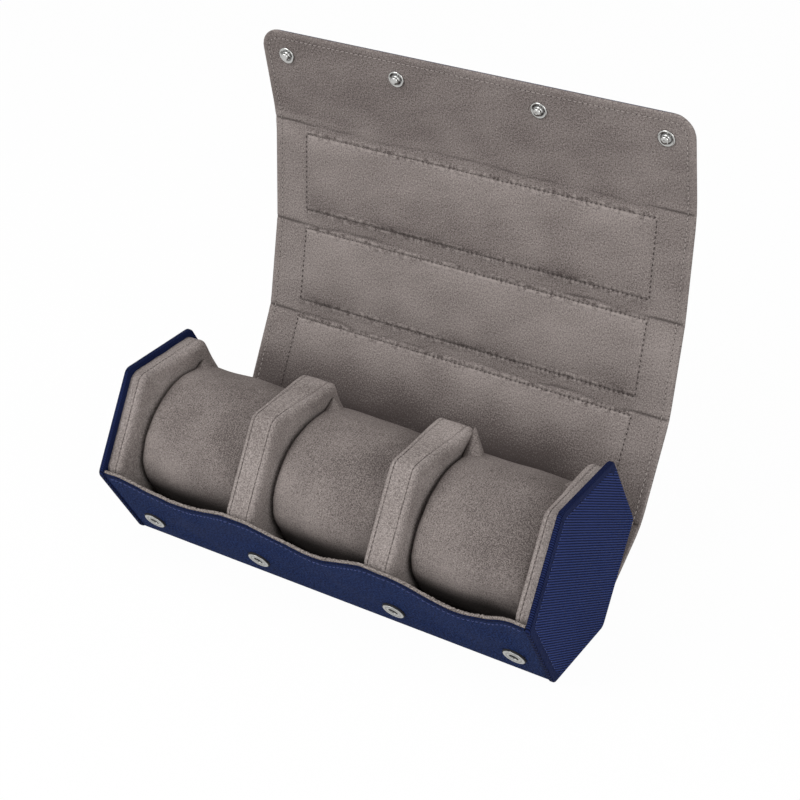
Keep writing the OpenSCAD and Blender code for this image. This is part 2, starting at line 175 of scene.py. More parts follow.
class Bench:
    """The node tree of one material or world, with the few nodes that the finishes and the studio use."""

    def __init__(self, name: str, shelf: object = None) -> None:
        """Starts an empty tree.

        Args:
            name: Name of the material or world.
            shelf: Blender's list that it joins, or None for the materials.
        """
        self.owner = (bpy.data.materials if shelf is None else shelf).new(name)
        self.owner.use_nodes = True
        self.tree = self.owner.node_tree
        self.tree.nodes.clear()

    def node(self, kind: str, settings: Inputs | None = None, inputs: Inputs | None = None) -> bpy.types.Node:
        """Adds a node.

        Args:
            kind: The node's type.
            settings: Properties of the node, set before its sockets.
            inputs: Value or signal of each socket, by name or number.

        Returns:
            The new node.
        """
        node = self.tree.nodes.new(kind)
        for key, value in (settings or {}).items():
            setattr(node, key, value)
        for key, value in (inputs or {}).items():
            if isinstance(value, Signal):
                self.tree.links.new(value.socket, node.inputs[key])
            else:
                node.inputs[key].default_value = value
        return node

    def signal(
        self, kind: str, settings: Inputs | None = None, inputs: Inputs | None = None, output: int | str = 0
    ) -> Signal:
        """Adds a node as node() does and gives one of its outputs, by name or number."""
        return Signal(self, self.node(kind, settings, inputs).outputs[output])

    def math(self, operation: str, *values: Signal | float) -> Signal:
        """Adds a Math node on up to three values."""
        return self.signal("ShaderNodeMath", {"operation": operation}, dict(enumerate(values)))

    def mix(self, share: Signal | float, first: Signal | Colour, second: Signal | Colour) -> Signal:
        """Mixes two colours: the first where share is 0, the second where it is 1."""
        return self.signal("ShaderNodeMix", {"data_type": "RGBA"}, {0: share, 6: first, 7: second}, 2)

    def place(self, follow: Follow) -> Signal:
        """Coordinates that a pattern reads, in metres."""
        return self.signal("ShaderNodeTexCoord", output=follow.value)

    def turned(self, vector: Signal, turn: Sequence[float], stretch: Sequence[float] = (1, 1, 1)) -> Signal:
        """Coordinates turned by angles in degrees and then stretched."""
        inputs = {"Vector": vector, "Rotation": [math.radians(a) for a in turn], "Scale": list(stretch)}
        return self.signal("ShaderNodeMapping", {"vector_type": "TEXTURE"}, inputs)

    def parts(self, vector: Signal) -> tuple[Signal, ...]:
        """The three numbers of a vector."""
        return tuple(Signal(self, part) for part in self.node("ShaderNodeSeparateXYZ", None, {0: vector}).outputs)

    def noise(self, vector: Signal, size: float, detail: float = 2.0, rough: float = 0.5) -> Signal:
        """Soft noise from 0 to 1 with features of a size in millimetres."""
        inputs = {"Vector": vector, "Scale": 1 / (size * MM), "Detail": detail, "Roughness": rough}
        return self.signal("ShaderNodeTexNoise", None, inputs)

    def wave(self, along: Signal, pitch: float, shift: Signal | float = 0.0) -> Signal:
        """Sine from -1 to 1 along a coordinate, with a pitch in millimetres and a shift in radians."""
        return (along * (2 * math.pi / (pitch * MM)) + shift).sine()

    def mark(self, name: str) -> Signal:
        """A number that the mesh carries at each point; 0 where it has none."""
        return self.signal("ShaderNodeAttribute", {"attribute_name": name}, output="Fac")

    def close(self, shader: bpy.types.Node, output: str = "ShaderNodeOutputMaterial") -> None:
        """Links a shader to a new output node."""
        self.tree.links.new(shader.outputs[0], self.node(output).inputs[0])

    def finish(self, height: Signal, depth: float, **sockets: object) -> Material:
        """Closes the tree with a Principled shader.

        Args:
            height: Relief from 0 to 1.
            depth: Depth of that relief in millimetres.
            sockets: The shader's values by socket name, with _ for a space.

        Returns:
            The finished material.
        """
        inputs = {key.replace("_", " "): value for key, value in sockets.items()}
        relief = {"Strength": 1.0, "Distance": depth * MM, "Height": height}
        inputs["Normal"] = self.signal("ShaderNodeBump", None, relief)
        self.close(self.node("ShaderNodeBsdfPrincipled", None, inputs))
        return self.owner


# ---- finishes ----


@dataclass(frozen=True)
class Suede:
    """Grey microsuede: a short brushed nap, mottled, with painted shade in its seams and paler on its worn ridges."""

    name: str
    follow: Follow
    pale: Colour = srgb(165, 156, 152)
    deep: Colour = srgb(96, 88, 85)
    # the dark that painted shade mixes in, in seams, folds and gaps
    seam: Colour = srgb(46, 40, 39)
    ribs: float = 0.0
    rib_pitch: float = 1.3
    stitch_pitch: float = 2.25
    grain: float = 1.0
    tuft_size: float = 0.72
    fibre_size: float = 0.36
    streak_size: float = 8.0
    pucker_size: float = 2.6
    cloud_size: float = 30.0
    cloud: float = 0.34
    depth: float = 0.26

    def make(self) -> Material:
        """Builds the material.

        The tone is a sum of tufts, fibres, brushed streaks and broad clouds, shifted by a mark of random nap that
        also carries painted light and shade. Fine ribs are a sine of the distance along the case. Where the mark row
        is, lumps of noise make puckers, and where the mark dots is, a sine of the stitches' pitch paints the shade of
        needle holes. A mark of painted shade mixes in the seam colour where shade falls, and the mark wear the pale
        of a worn ridge.

        Returns:
            The material.
        """
        bench = Bench(self.name)
        at = bench.place(self.follow)
        along, _, _ = bench.parts(at)
        tuft = bench.noise(at, self.tuft_size, 3, 0.75)
        fibre = bench.noise(bench.turned(at, (0, 0, 35), (1, 2.0, 1)), self.fibre_size, 2, 0.6)
        brushed = bench.noise(bench.turned(at, (0, 0, 20), (3.0, 1, 1)), self.streak_size, 3, 0.55)
        cloud = bench.noise(at, self.cloud_size, 2, 0.5)
        grain = (tuft - 0.5) * (2.5 * self.grain) + (fibre - 0.5) * (1.6 * self.grain)
        # the nap mark shifts the tone by random nap and by painted light and shade
        tone = 0.5 + grain + (brushed - 0.5) * 0.3 + (cloud - 0.5) * self.cloud + bench.mark("nap")
        if self.ribs:
            rib = bench.wave(along, self.rib_pitch, brushed * 5) * (cloud * 2.2 - 0.5).held()
            tone = tone + rib * self.ribs
        beat = bench.wave(along, self.stitch_pitch, (brushed - 0.5) * 7) * 0.5 + 0.5
        row = bench.mark("row")
        pucker = bench.noise(at, self.pucker_size, 1)
        tone = tone + row * ((pucker - 0.46) * 2.0 + (beat - 0.5) * 0.2)
        colour = bench.mix(tone.held(), self.deep, self.pale)
        # painted shade of seams, folds and gaps, and of needle holes along the stitches
        dark = bench.mark("painted_shade") * 0.8 + bench.mark("dots") * (1 - beat) * 0.36
        colour = bench.mix(dark.held(), colour, self.seam)
        colour = bench.mix((bench.mark("wear") * 0.4).held(), colour, self.pale)
        relief = tuft * 0.6 + fibre * 0.4 + row * (pucker * 2.2 + beat * 0.35)
        sheen = {"Sheen_Weight": 0.12, "Sheen_Roughness": 0.5, "Sheen_Tint": self.pale}
        return bench.finish(
            relief, self.depth, Base_Color=colour, Roughness=0.95, Specular_IOR_Level=0.08, **sheen
        )


@dataclass(frozen=True)
class NavyCloth:
    """Woven navy cloth with fine ribs, on the case's outer side."""

    name: str
    follow: Follow
    turn: tuple[float, float, float] = (0, 0, 0)
    rib_pitch: float = 1.15
    contrast: float = 1.0
    crown: Colour = srgb(46, 60, 112)
    groove: Colour = srgb(3, 6, 26)
    shade: Colour = srgb(10, 14, 34)
    fleck: float = 0.55
    fleck_size: float = 0.6
    yarn_pitch: float = 0.62
    twill_pitch: float = 0.95
    cloud_size: float = 26.0
    depth: float = 0.2

    def make(self) -> Material:
        """Builds the material: ribs crossed by finer yarns, and a plain twill where the mark margin is.

        Returns:
            The material.
        """
        bench = Bench(self.name)
        at = bench.turned(bench.place(self.follow), self.turn)
        along, across, _ = bench.parts(at)
        wander = (bench.noise(at, 9, 2) - 0.5) * 0.5
        rib = bench.wave(across, self.rib_pitch, wander) * 0.5 + 0.5
        yarn = bench.wave(along, self.yarn_pitch, rib * 1.6) * 0.5 + 0.5
        twill = bench.wave(along + across, self.twill_pitch) * 0.5 + 0.5
        margin = bench.mark("margin")
        weave = (rib * 0.72 + yarn * 0.28) * (1 - margin) + (twill * 0.45 + yarn * 0.2) * margin
        fleck = bench.noise(at, self.fleck_size, 2, 0.7)
        cloud = bench.noise(at, self.cloud_size, 2)
        tone = 0.5 + (weave - 0.5) * self.contrast + (fleck - 0.5) * self.fleck + (cloud - 0.5) * 0.2
        colour = bench.mix(tone.held(), self.groove, self.crown)
        # painted shade in the end panels' margin step and rim, and under the lip's edge
        colour = bench.mix((bench.mark("painted_shade") * 0.7).held(), colour, self.shade)
        relief = weave * (0.8 * self.contrast) + fleck * 0.5
        sheen = {"Sheen_Weight": 0.02, "Sheen_Roughness": 0.4, "Sheen_Tint": srgb(70, 90, 170)}
        return bench.finish(relief, self.depth, Base_Color=colour, Roughness=0.8, Specular_IOR_Level=0.05, **sheen)


@dataclass(frozen=True)
class Nickel:
    """Plated metal of the press studs, with faint turning marks and small scratches."""

    name: str
    tint: Colour = srgb(206, 206, 204)
    rough: float = 0.14
    smeared: Colour = srgb(150, 149, 146)
    # the dark of painted shade in the grooves
    groove_shade: Colour = srgb(38, 38, 40)

    def make(self) -> Material:
        """Builds the material: smears and scratches dull it, and a mark of painted shade darkens its grooves.

        Returns:
            The material.
        """
        bench = Bench(self.name)
        at = bench.place(Follow.PLACE)
        smear = bench.noise(at, 1.8, 3, 0.6)
        scratch = bench.noise(bench.turned(at, (0, 0, 28), (6, 0.5, 1)), 0.5, 2, 0.6)
        colour = bench.mix((smear * 0.5 + scratch * 0.3).held(), self.tint, self.smeared)
        # painted shade in the grooves, for contrast in the metal
        colour = bench.mix(bench.mark("painted_shade").held(), colour, self.groove_shade)
        rough = self.rough + (smear - 0.5) * 0.16 + (scratch - 0.5) * 0.08
        return bench.finish(scratch, 0.01, Base_Color=colour, Roughness=rough, Metallic=1.0)


@dataclass(frozen=True)
class Thread:
    """Twisted sewing thread."""

    name: str
    pale: Colour
    deep: Colour

    def make(self) -> Material:
        """Builds the material: strands of noise that run askew.

        Returns:
            The material.
        """
        bench = Bench(self.name)
        at = bench.place(Follow.PLACE)
        strand = bench.noise(bench.turned(at, (0, 0, 40), (1, 3, 1)), 0.35, 2)
        colour = bench.mix(strand, self.deep, self.pale)
        return bench.finish(strand, 0.05, Base_Color=colour, Roughness=0.7, Specular_IOR_Level=0.25)


@dataclass(frozen=True)
class Greyboard:
    """Pressed grey board with short fibres, inside the cloth."""

    name: str
    pale: Colour = srgb(176, 165, 143)
    deep: Colour = srgb(118, 108, 92)

    def make(self) -> Material:
        """Builds the material: fibres that lie one way, and specks.

        Returns:
            The material.
        """
        bench = Bench(self.name)
        at = bench.place(Follow.PLACE)
        fibre = bench.noise(bench.turned(at, (0, 0, 15), (3, 1, 1)), 1.1, 3, 0.65)
        speck = bench.noise(at, 0.5, 2, 0.7)
        colour = bench.mix((fibre * 0.7 + speck * 0.3).held(), self.deep, self.pale)
        return bench.finish(fibre, 0.08, Base_Color=colour, Roughness=0.9, Specular_IOR_Level=0.2)


def finish_of(recipe: Suede | NavyCloth | Nickel | Thread | Greyboard) -> Material:
    """A field whose material is built from its recipe when the finishes are made.

    Args:
        recipe: A finish with its sizes and colours.

    Returns:
        The field.
    """
    return field(default_factory=recipe.make)


@dataclass
class Finishes:
    """Every finish of the case, made once."""

    suede: Material = finish_of(Suede("suede_of_pads", Follow.PLACE))
    # the sleeve's third colour is the near black of painted shade at the cushions' front foot
    sleeve: Material = finish_of(
        Suede(
            "suede_of_cushions", Follow.PLACE, srgb(147, 138, 134), srgb(77, 70, 68), srgb(24, 20, 20),
            ribs=0.06, grain=1.15, tuft_size=0.48, cloud=0.18,
        )
    )
    lining: Material = finish_of(Suede("suede_lining", Follow.CLOTH, srgb(155, 146, 142), srgb(84, 76, 74)))
    # the lip suede's third colour is the near black of painted shade inside the lip
    edge: Material = finish_of(
        Suede("suede_of_lip", Follow.CLOTH, srgb(158, 149, 144), srgb(80, 73, 70), srgb(24, 20, 20), grain=1.7)
    )
    ribbed: Material = finish_of(NavyCloth("navy_ribbed", Follow.CLOTH, (0, 0, -30), rib_pitch=1.1, contrast=1.6))
    wrap: Material = finish_of(
        NavyCloth(
            "navy_wrap", Follow.CLOTH, (0, 0, 90), rib_pitch=0.85, contrast=0.5,
            crown=srgb(37, 54, 98), groove=srgb(4, 8, 32), fleck=3.4, fleck_size=0.95,
        )
    )
    nickel: Material = finish_of(Nickel("nickel_bright"))
    satin: Material = finish_of(Nickel("nickel_satin", tint=srgb(184, 184, 181), rough=0.36))
    board: Material = finish_of(Greyboard("greyboard_raw"))
    grey_thread: Material = finish_of(Thread("thread_grey", srgb(184, 175, 171), srgb(122, 114, 110)))
    dark_thread: Material = finish_of(Thread("thread_in_seam", srgb(70, 62, 60), srgb(36, 31, 30)))
    navy_thread: Material = finish_of(Thread("thread_navy", srgb(86, 98, 150), srgb(26, 33, 70)))
    # dark material of painted shade on the sockets' walls and in their pits
    socket_shade: Material = finish_of(Thread("socket_shadow", srgb(40, 40, 44), srgb(18, 18, 22)))


# ---- meshes ----


def grid_faces(rows: int, cols: int, round_cols: bool) -> Array:
    """Corner numbers of a grid's cells: cell (i, j) joins rows i and i + 1 and columns j and j + 1.

    Args:
        rows: Number of rows.
        cols: Points in a row.
        round_cols: Whether the last column joins the first.

    Returns:
        One line of four point numbers for each cell.
    """
    row = np.arange(rows - 1)[:, None] * cols
    col = np.arange(cols if round_cols else cols - 1)[None, :]
    nxt = (col + 1) % cols
    return np.stack([row + col, row + nxt, row + cols + nxt, row + cols + col], -1).reshape(-1, 4)


def ladder_faces(first: int, count: int) -> Faces:
    """Closes a flat ring by rungs: point k is joined to point count - k.

    Args:
        first: Number of the ring's first point.
        count: Points in the ring, an even number.

    Returns:
        Faces as lists of point numbers.
    """
    k = np.arange(1, count // 2 - 1)
    rungs = np.stack([first + k, first + k + 1, first + count - k - 1, first + count - k], -1)
    tips = [
        [first, first + 1, first + count - 1],
        [first + count // 2 - 1, first + count // 2, first + count // 2 + 1],
    ]
    return rungs.tolist() + tips


def fan_faces(first: int, count: int, centre: int) -> Faces:
    """Closes a ring by triangles that meet at a middle point."""
    k = np.arange(count)
    return np.stack([first + k, first + (k + 1) % count, np.full(count, centre)], -1).tolist()


def capped(rings: Array, tip: Array | None = None) -> tuple[Array, Faces]:
    """Closes a stack of rings by a fan to a middle point at each end.

    Args:
        rings: Points by ring, place round it, and x, y, z.
        tip: The last fan's point, or None for the middle of the last ring.

    Returns:
        Points, one line each with the two middle points last, and faces.
    """
    rows, cols, _ = rings.shape
    count = rows * cols
    faces = grid_faces(rows, cols, True).tolist()
    faces += fan_faces(0, cols, count) + fan_faces((rows - 1) * cols, cols, count + 1)
    last = rings[-1].mean(0) if tip is None else tip
    return np.concatenate([rings.reshape(-1, 3), rings[0].mean(0)[None], last[None]]), faces


def put_mesh(
    name: str,
    points: Array,
    faces: Faces,
    finish: Material,
    marks: Mapping[str, Array] | None = None,
    flat: Array | None = None,
) -> Piece:
    """Puts points and faces into a new smooth object with its faces turned outwards.

    Args:
        name: Name of the piece.
        points: Points in millimetres, one line each.
        faces: Faces as lists of point numbers.
        finish: Material of the piece.
        marks: Numbers that the points carry for the finish, by name.
        flat: Each point's place on the flat cloth in millimetres.

    Returns:
        The new object, at the origin.
    """
    mesh = bpy.data.meshes.new(name)
    mesh.from_pydata((points * MM).tolist(), [], faces)
    carry(mesh, marks or {})
    if flat is not None:
        corner = np.zeros(len(mesh.loops), np.int64)
        mesh.loops.foreach_get("vertex_index", corner)
        layer = mesh.uv_layers.new(name="cloth")
        layer.data.foreach_set("uv", (flat * MM)[corner].astype(np.float32).ravel())
    work = bmesh.new()
    work.from_mesh(mesh)
    bmesh.ops.remove_doubles(work, verts=work.verts, dist=WELD)
    bmesh.ops.recalc_face_normals(work, faces=work.faces)
    work.to_mesh(mesh)
    work.free()
    smooth(mesh)
    mesh.set_sharp_from_angle(angle=SHARP)
    mesh.materials.append(finish)
    piece = bpy.data.objects.new(name, mesh)
    bpy.context.scene.collection.objects.link(piece)
    LOG.info("%s: %d points, %d faces", name, len(mesh.vertices), len(mesh.polygons))
    return piece


def put_sheet(name: str, rings: Array, flat: Array, marks: Marks, finish: Material) -> Piece:
    """Makes a sheet of cloth from rings round its thickness, closed by rungs across the first and the last.

    Args:
        name: Name of the piece.
        rings: Points by ring, place round it, and x, y, z.
        flat: Each point's place on the flat cloth in millimetres.
        marks: Numbers that the points carry for the finish, by name.
        finish: Material of the piece.

    Returns:
        The new object.
    """
    rows, cols, _ = rings.shape
    faces = grid_faces(rows, cols, True).tolist()
    faces += ladder_faces(0, cols) + ladder_faces((rows - 1) * cols, cols)
    carried = {key: value.ravel() for key, value in marks.items()}
    return put_mesh(name, rings.reshape(-1, 3), faces, finish, carried, flat.reshape(-1, 2))


def carry(mesh: bpy.types.Mesh, marks: Mapping[str, Array]) -> None:
    """Gives a mesh's points their numbers for the finish."""
    for key, values in marks.items():
        mesh.attributes.new(key, "FLOAT", "POINT").data.foreach_set("value", values.astype(np.float32))


def smooth(mesh: bpy.types.Mesh) -> None:
    """Shades every face of a mesh smoothly."""
    mesh.polygons.foreach_set("use_smooth", np.ones(len(mesh.polygons), bool))


def points_of(mesh: bpy.types.Mesh) -> Array:
    """Points of a mesh in millimetres, one line each.

    Args:
        mesh: The mesh.

    Returns:
        Its points as x, y, z.
    """
    values = np.zeros(len(mesh.vertices) * 3, np.float32)
    mesh.vertices.foreach_get("co", values)
    return values.reshape(-1, 3).astype(float) / MM


def soft_step(value: Array, low: float, high: float) -> Array:
    """Rises smoothly from 0 at low to 1 at high: 3t^2 - 2t^3 of the share t of the way."""
    share = np.clip((value - low) / (high - low), 0, 1)
    return share * share * (3 - 2 * share)


def bell(value: Array, width: float) -> Array:
    """Bell curve: 1 at 0, and 0.37 at width on either side."""
    return np.exp(-((value / width) ** 2))


def graded(low: float, high: float, coarse: float, fine: float, marks: Sequence[float], reach: float) -> Array:
    """Stations from low to high, close together near marked places.

    The density of stations is 1 / coarse plus a bell of height 1 / fine round each mark. Its running sum is cut
    into equal parts, and the marks and ends are kept as stations.

    Args:
        low: First station.
        high: Last station.
        coarse: Spacing away from the marks.
        fine: Spacing at a mark.
        marks: The marked places.
        reach: How far a mark's fine spacing reaches.

    Returns:
        The stations in order.
    """
    dense = np.linspace(low, high, 4000)
    spots = np.array([m for m in marks if low < m < high])
    weight = 1 / coarse + bell(dense[:, None] - spots[None, :], reach).sum(1) / fine
    running = np.concatenate([[0], np.cumsum((weight[1:] + weight[:-1]) / 2 * np.diff(dense))])
    count = max(int(running[-1]), 2)
    return np.interp(np.linspace(0, running[-1], count + 1), running, dense)


@dataclass(frozen=True)
class Ripple:
    """Soft unevenness of cloth: a sum of sine waves in seeded random directions, from about -1 to 1."""

    seed: int
    length: float
    waves: int = 14

    def at(self, u: Array, v: Array) -> Array:
        """The ripple's height: the waves' sum over the root of their number.

        Args:
            u: Places along the cloth in millimetres.
            v: Places up the cloth in millimetres.

        Returns:
            Heights, with the shape of u and v.
        """
        rng = np.random.default_rng(self.seed)
        angle = rng.uniform(0, math.pi, self.waves)
        rate = 2 * math.pi / (self.length * rng.uniform(0.6, 1.6, self.waves))
        phase = rng.uniform(0, 2 * math.pi, self.waves)
        spread = (np.asarray(u)[..., None] * np.cos(angle) + np.asarray(v)[..., None] * np.sin(angle)) * rate + phase
        return np.sin(spread).sum(-1) / math.sqrt(self.waves)


# ---- the case's section ----


@dataclass(frozen=True)
class Hexagon:
    """The case's six-sided section.

    Its faces in turn are base, lower back, upper back, top, upper front and lower front.
    """

    flat: float = 44.5
    height: float = 84.0
    faces: tuple[int, ...] = (270, 330, 30, 90, 150, 210)

    @property
    def slant(self) -> float:
        """Length of a slanting face."""
        return self.height / 2 / math.sin(CORNER)

    @property
    def half(self) -> float:
        """Half the section's width."""
        return self.flat / 2 + self.height / 2 / math.tan(CORNER)

    @property
    def reach(self) -> Array:
        """Distance of each face from the section's middle."""
        return np.where(np.arange(6) % 3 == 0, self.height / 2, self.half * math.cos(CORNER / 2))

    @property
    def ways(self) -> Array:
        """Outward direction of each face in radians, from +Y towards +Z."""
        return np.radians(np.array(self.faces, float))

    def bearing(self, y: Array, z: Array) -> Array:
        """Direction of a point from the section's middle, from 0 to 360 degrees, from +Y towards +Z."""
        return np.degrees(np.arctan2(z - self.height / 2, y)) % 360

    def corners(self, insets: Array) -> Array:
        """The six corners where each face, moved in by its inset, meets the next.

        Two lines n.p = a and m.p = b meet at (a m' - b n') / (n x m), where ' is a quarter turn.

        Args:
            insets: How far each face moves in, with the faces in the last place of the array.

        Returns:
            Corners as y, z, with the shape of insets and one more place of two.
        """
        near = self.reach - insets
        far = np.roll(near, -1, -1)
        p, q = self.ways, np.roll(self.ways, -1)
        y = near * np.sin(q) - far * np.sin(p)
        z = -near * np.cos(q) + far * np.cos(p)
        return np.stack([y, z], -1) / np.sin(q - p)[:, None] + np.array([0, self.height / 2])

    def ring(self, insets: Sequence[float], radius: float, extra: Array, sides: int, arc: int) -> Array:
        """Rounded outlines of the section, one for each value of extra.

        Args:
            insets: How far each face lies inside the case's edge.
            radius: Radius of the corners.
            extra: How much further every face moves in, one value for each outline.
            sides: Points along a straight side.
            arc: Steps in a corner.

        Returns:
            Outlines as y, z: one for each extra, each of 6 * (sides + arc + 1) points in the same turn.
        """
        extra = np.asarray(extra, float)
        centre = self.corners(np.asarray(insets, float)[None, :] + extra[:, None] + radius)
        turn = np.radians(np.array(self.faces, float)[:, None] + np.linspace(0, 60, arc + 1)[None, :])
        curve = centre[:, :, None, :] + radius * np.stack([np.cos(turn), np.sin(turn)], -1)[None]
        start, end = curve[:, :, -1, :], np.roll(curve[:, :, 0, :], -1, 1)
        share = (np.arange(sides) + 1) / (sides + 1)
        line = start[:, :, None, :] + (end - start)[:, :, None, :] * share[None, None, :, None]
        return np.concatenate([curve, line], 2).reshape(len(extra), -1, 2)


@dataclass(frozen=True)
class CaseSizes:
    """Main sizes that several parts of the case share."""

    hexagon: Hexagon = Hexagon()
    length: float = 217.0
    end_t: float = 2.5
    end_pad_t: float = 7.0
    divider_t: float = 14.0
    divider_x: float = 35.0
    cover_t: float = 0.8
    lining_t: float = 1.3
    base_board_t: float = 2.0
    side_gap: float = 0.3
    lip_recess: float = 0.8
    lip_below: float = 0.4
    lip_dips: tuple[float, ...] = (8.075, 9.5, 10.45)
    lip_shape: float = 1.2
    stud_x: tuple[float, ...] = (-93.0, -35.0, 35.0, 93.0)
    stud_up: float = 14.0

    @property
    def end_in(self) -> float:
        """Inner face of an end panel."""
        return self.length / 2 - self.end_t

    @property
    def pad_in(self) -> float:
        """Inner face of an end pad."""
        return self.end_in - self.end_pad_t

    @property
    def wrap_half(self) -> float:
        """Half the wrap's length."""
        return self.end_in - self.side_gap

    @property
    def floor_z(self) -> float:
        """Height of the lining on the base."""
        return self.cover_t + self.base_board_t + self.lining_t

    @property
    def lip_in(self) -> float:
        """Depth of the lip's inner face inside the end panels' edge."""
        return self.lip_recess + self.cover_t + self.lining_t

    @property
    def skin(self) -> float:
        """Depth of the lid cloth's middle below its outer face."""
        return self.cover_t / 2

    @property
    def bays(self) -> tuple[tuple[float, float], ...]:
        """Ends of the three bays.

        Returns:
            Low and high x of each bay, from the left.
        """
        half = self.divider_t / 2
        return (
            (-self.pad_in, -self.divider_x - half),
            (-self.divider_x + half, self.divider_x - half),
            (self.divider_x + half, self.pad_in),
        )

    def lip_top(self, x: Array) -> Array:
        """Height of the lip's top up the lower front face: level at the dividers, a sine dip in each bay.

        Args:
            x: Places along the case.

        Returns:
            Distances up the face.
        """
        top = np.full_like(x, self.hexagon.slant - self.lip_below)
        for (low, high), dip in zip(self.bays, self.lip_dips):
            share = np.clip((x - low) / (high - low), 0, 1)
            top -= dip * np.sin(math.pi * share).clip(0, 1) ** self.lip_shape
        return top

    def on_lip(self, points: Array) -> Array:
        """Moves points of the lip's own frame into the case's frame.

        Args:
            points: Distances along the case, up the lip's face and outwards.

        Returns:
            The points as x, y, z.
        """
        c, s = math.cos(2 * CORNER), math.sin(2 * CORNER)
        y = -self.hexagon.flat / 2 + points[..., 1] * c - points[..., 2] * s
        z = points[..., 1] * s + points[..., 2] * c
        return np.stack([points[..., 0], y, z], -1)


# ---- stitching ----


@dataclass(frozen=True)
class Stitch:
    """One stitch of a row: a short thread that dives into the cloth at both ends."""

    pitch: float = 2.3
    length: float = 1.7
    radius: float = 0.2
    sink: float = 0.05
    shift: float = 0.5
    steps: int = 5
    sides: int = 6

    def row(self, path: Array, normals: Array) -> Array:
        """Stitches along a path.

        A stitch is a tube whose radius and height fall at both ends as a cosine. Its frame at each
        step is the path's direction, the cloth's normal and their cross product.

        Args:
            path: Points of the path in millimetres.
            normals: The cloth's outward direction at each of them.

        Returns:
            Points of the stitches: stitch, step along it, point round it, and x, y, z.
        """
        run = np.concatenate([[0], np.cumsum(np.linalg.norm(np.diff(path, axis=0), axis=1))])
        count = max(int(run[-1] / self.pitch), 1)
        pitch = run[-1] / count
        start = (np.arange(count) + self.shift) * pitch
        share = np.linspace(-1, 1, self.steps)
        at = np.clip(start[:, None] + share[None, :] * self.length * pitch / self.pitch / 2, 0, run[-1])
        centre = np.stack([np.interp(at, run, path[:, k]) for k in range(3)], -1)
        normal = np.stack([np.interp(at, run, normals[:, k]) for k in range(3)], -1)
        normal /= np.linalg.norm(normal, axis=-1, keepdims=True)
        ahead = np.gradient(centre, axis=1)
        ahead /= np.maximum(np.linalg.norm(ahead, axis=-1, keepdims=True), 1e-9)
        beside = np.cross(ahead, normal)
        hump = np.cos(share * math.pi / 2 * 0.92)
        centre = centre + normal * ((hump * (self.radius + self.sink) - self.sink)[None, :, None])
        turn = np.linspace(0, 2 * math.pi, self.sides, endpoint=False)
        radius = self.radius * (0.45 + 0.55 * hump)
        round_it = np.cos(turn)[:, None] * beside[:, :, None, :] + np.sin(turn)[:, None] * normal[:, :, None, :]
        return centre[:, :, None, :] + radius[None, :, None, None] * round_it


def put_stitches(name: str, rows: Sequence[Array], finish: Material) -> Piece:
    """Joins rows of six-sided stitches into one piece, each closed by two faces at both ends.

    Args:
        name: Name of the piece.
        rows: Stitches as Stitch.row gives them.
        finish: The thread's finish.

    Returns:
        The new object.
    """
    stitches = np.concatenate(rows)
    count, steps, sides, _ = stitches.shape
    each = steps * sides
    single = grid_faces(steps, sides, True)
    ends = np.array([[0, 1, 2, 3], [3, 4, 5, 0]])
    single = np.concatenate([single, ends, ends + (steps - 1) * sides])
    faces = (single[None] + (np.arange(count) * each)[:, None, None]).reshape(-1, 4)
    return put_mesh(name, stitches.reshape(-1, 3), faces.tolist(), finish)


# ---- lid ----


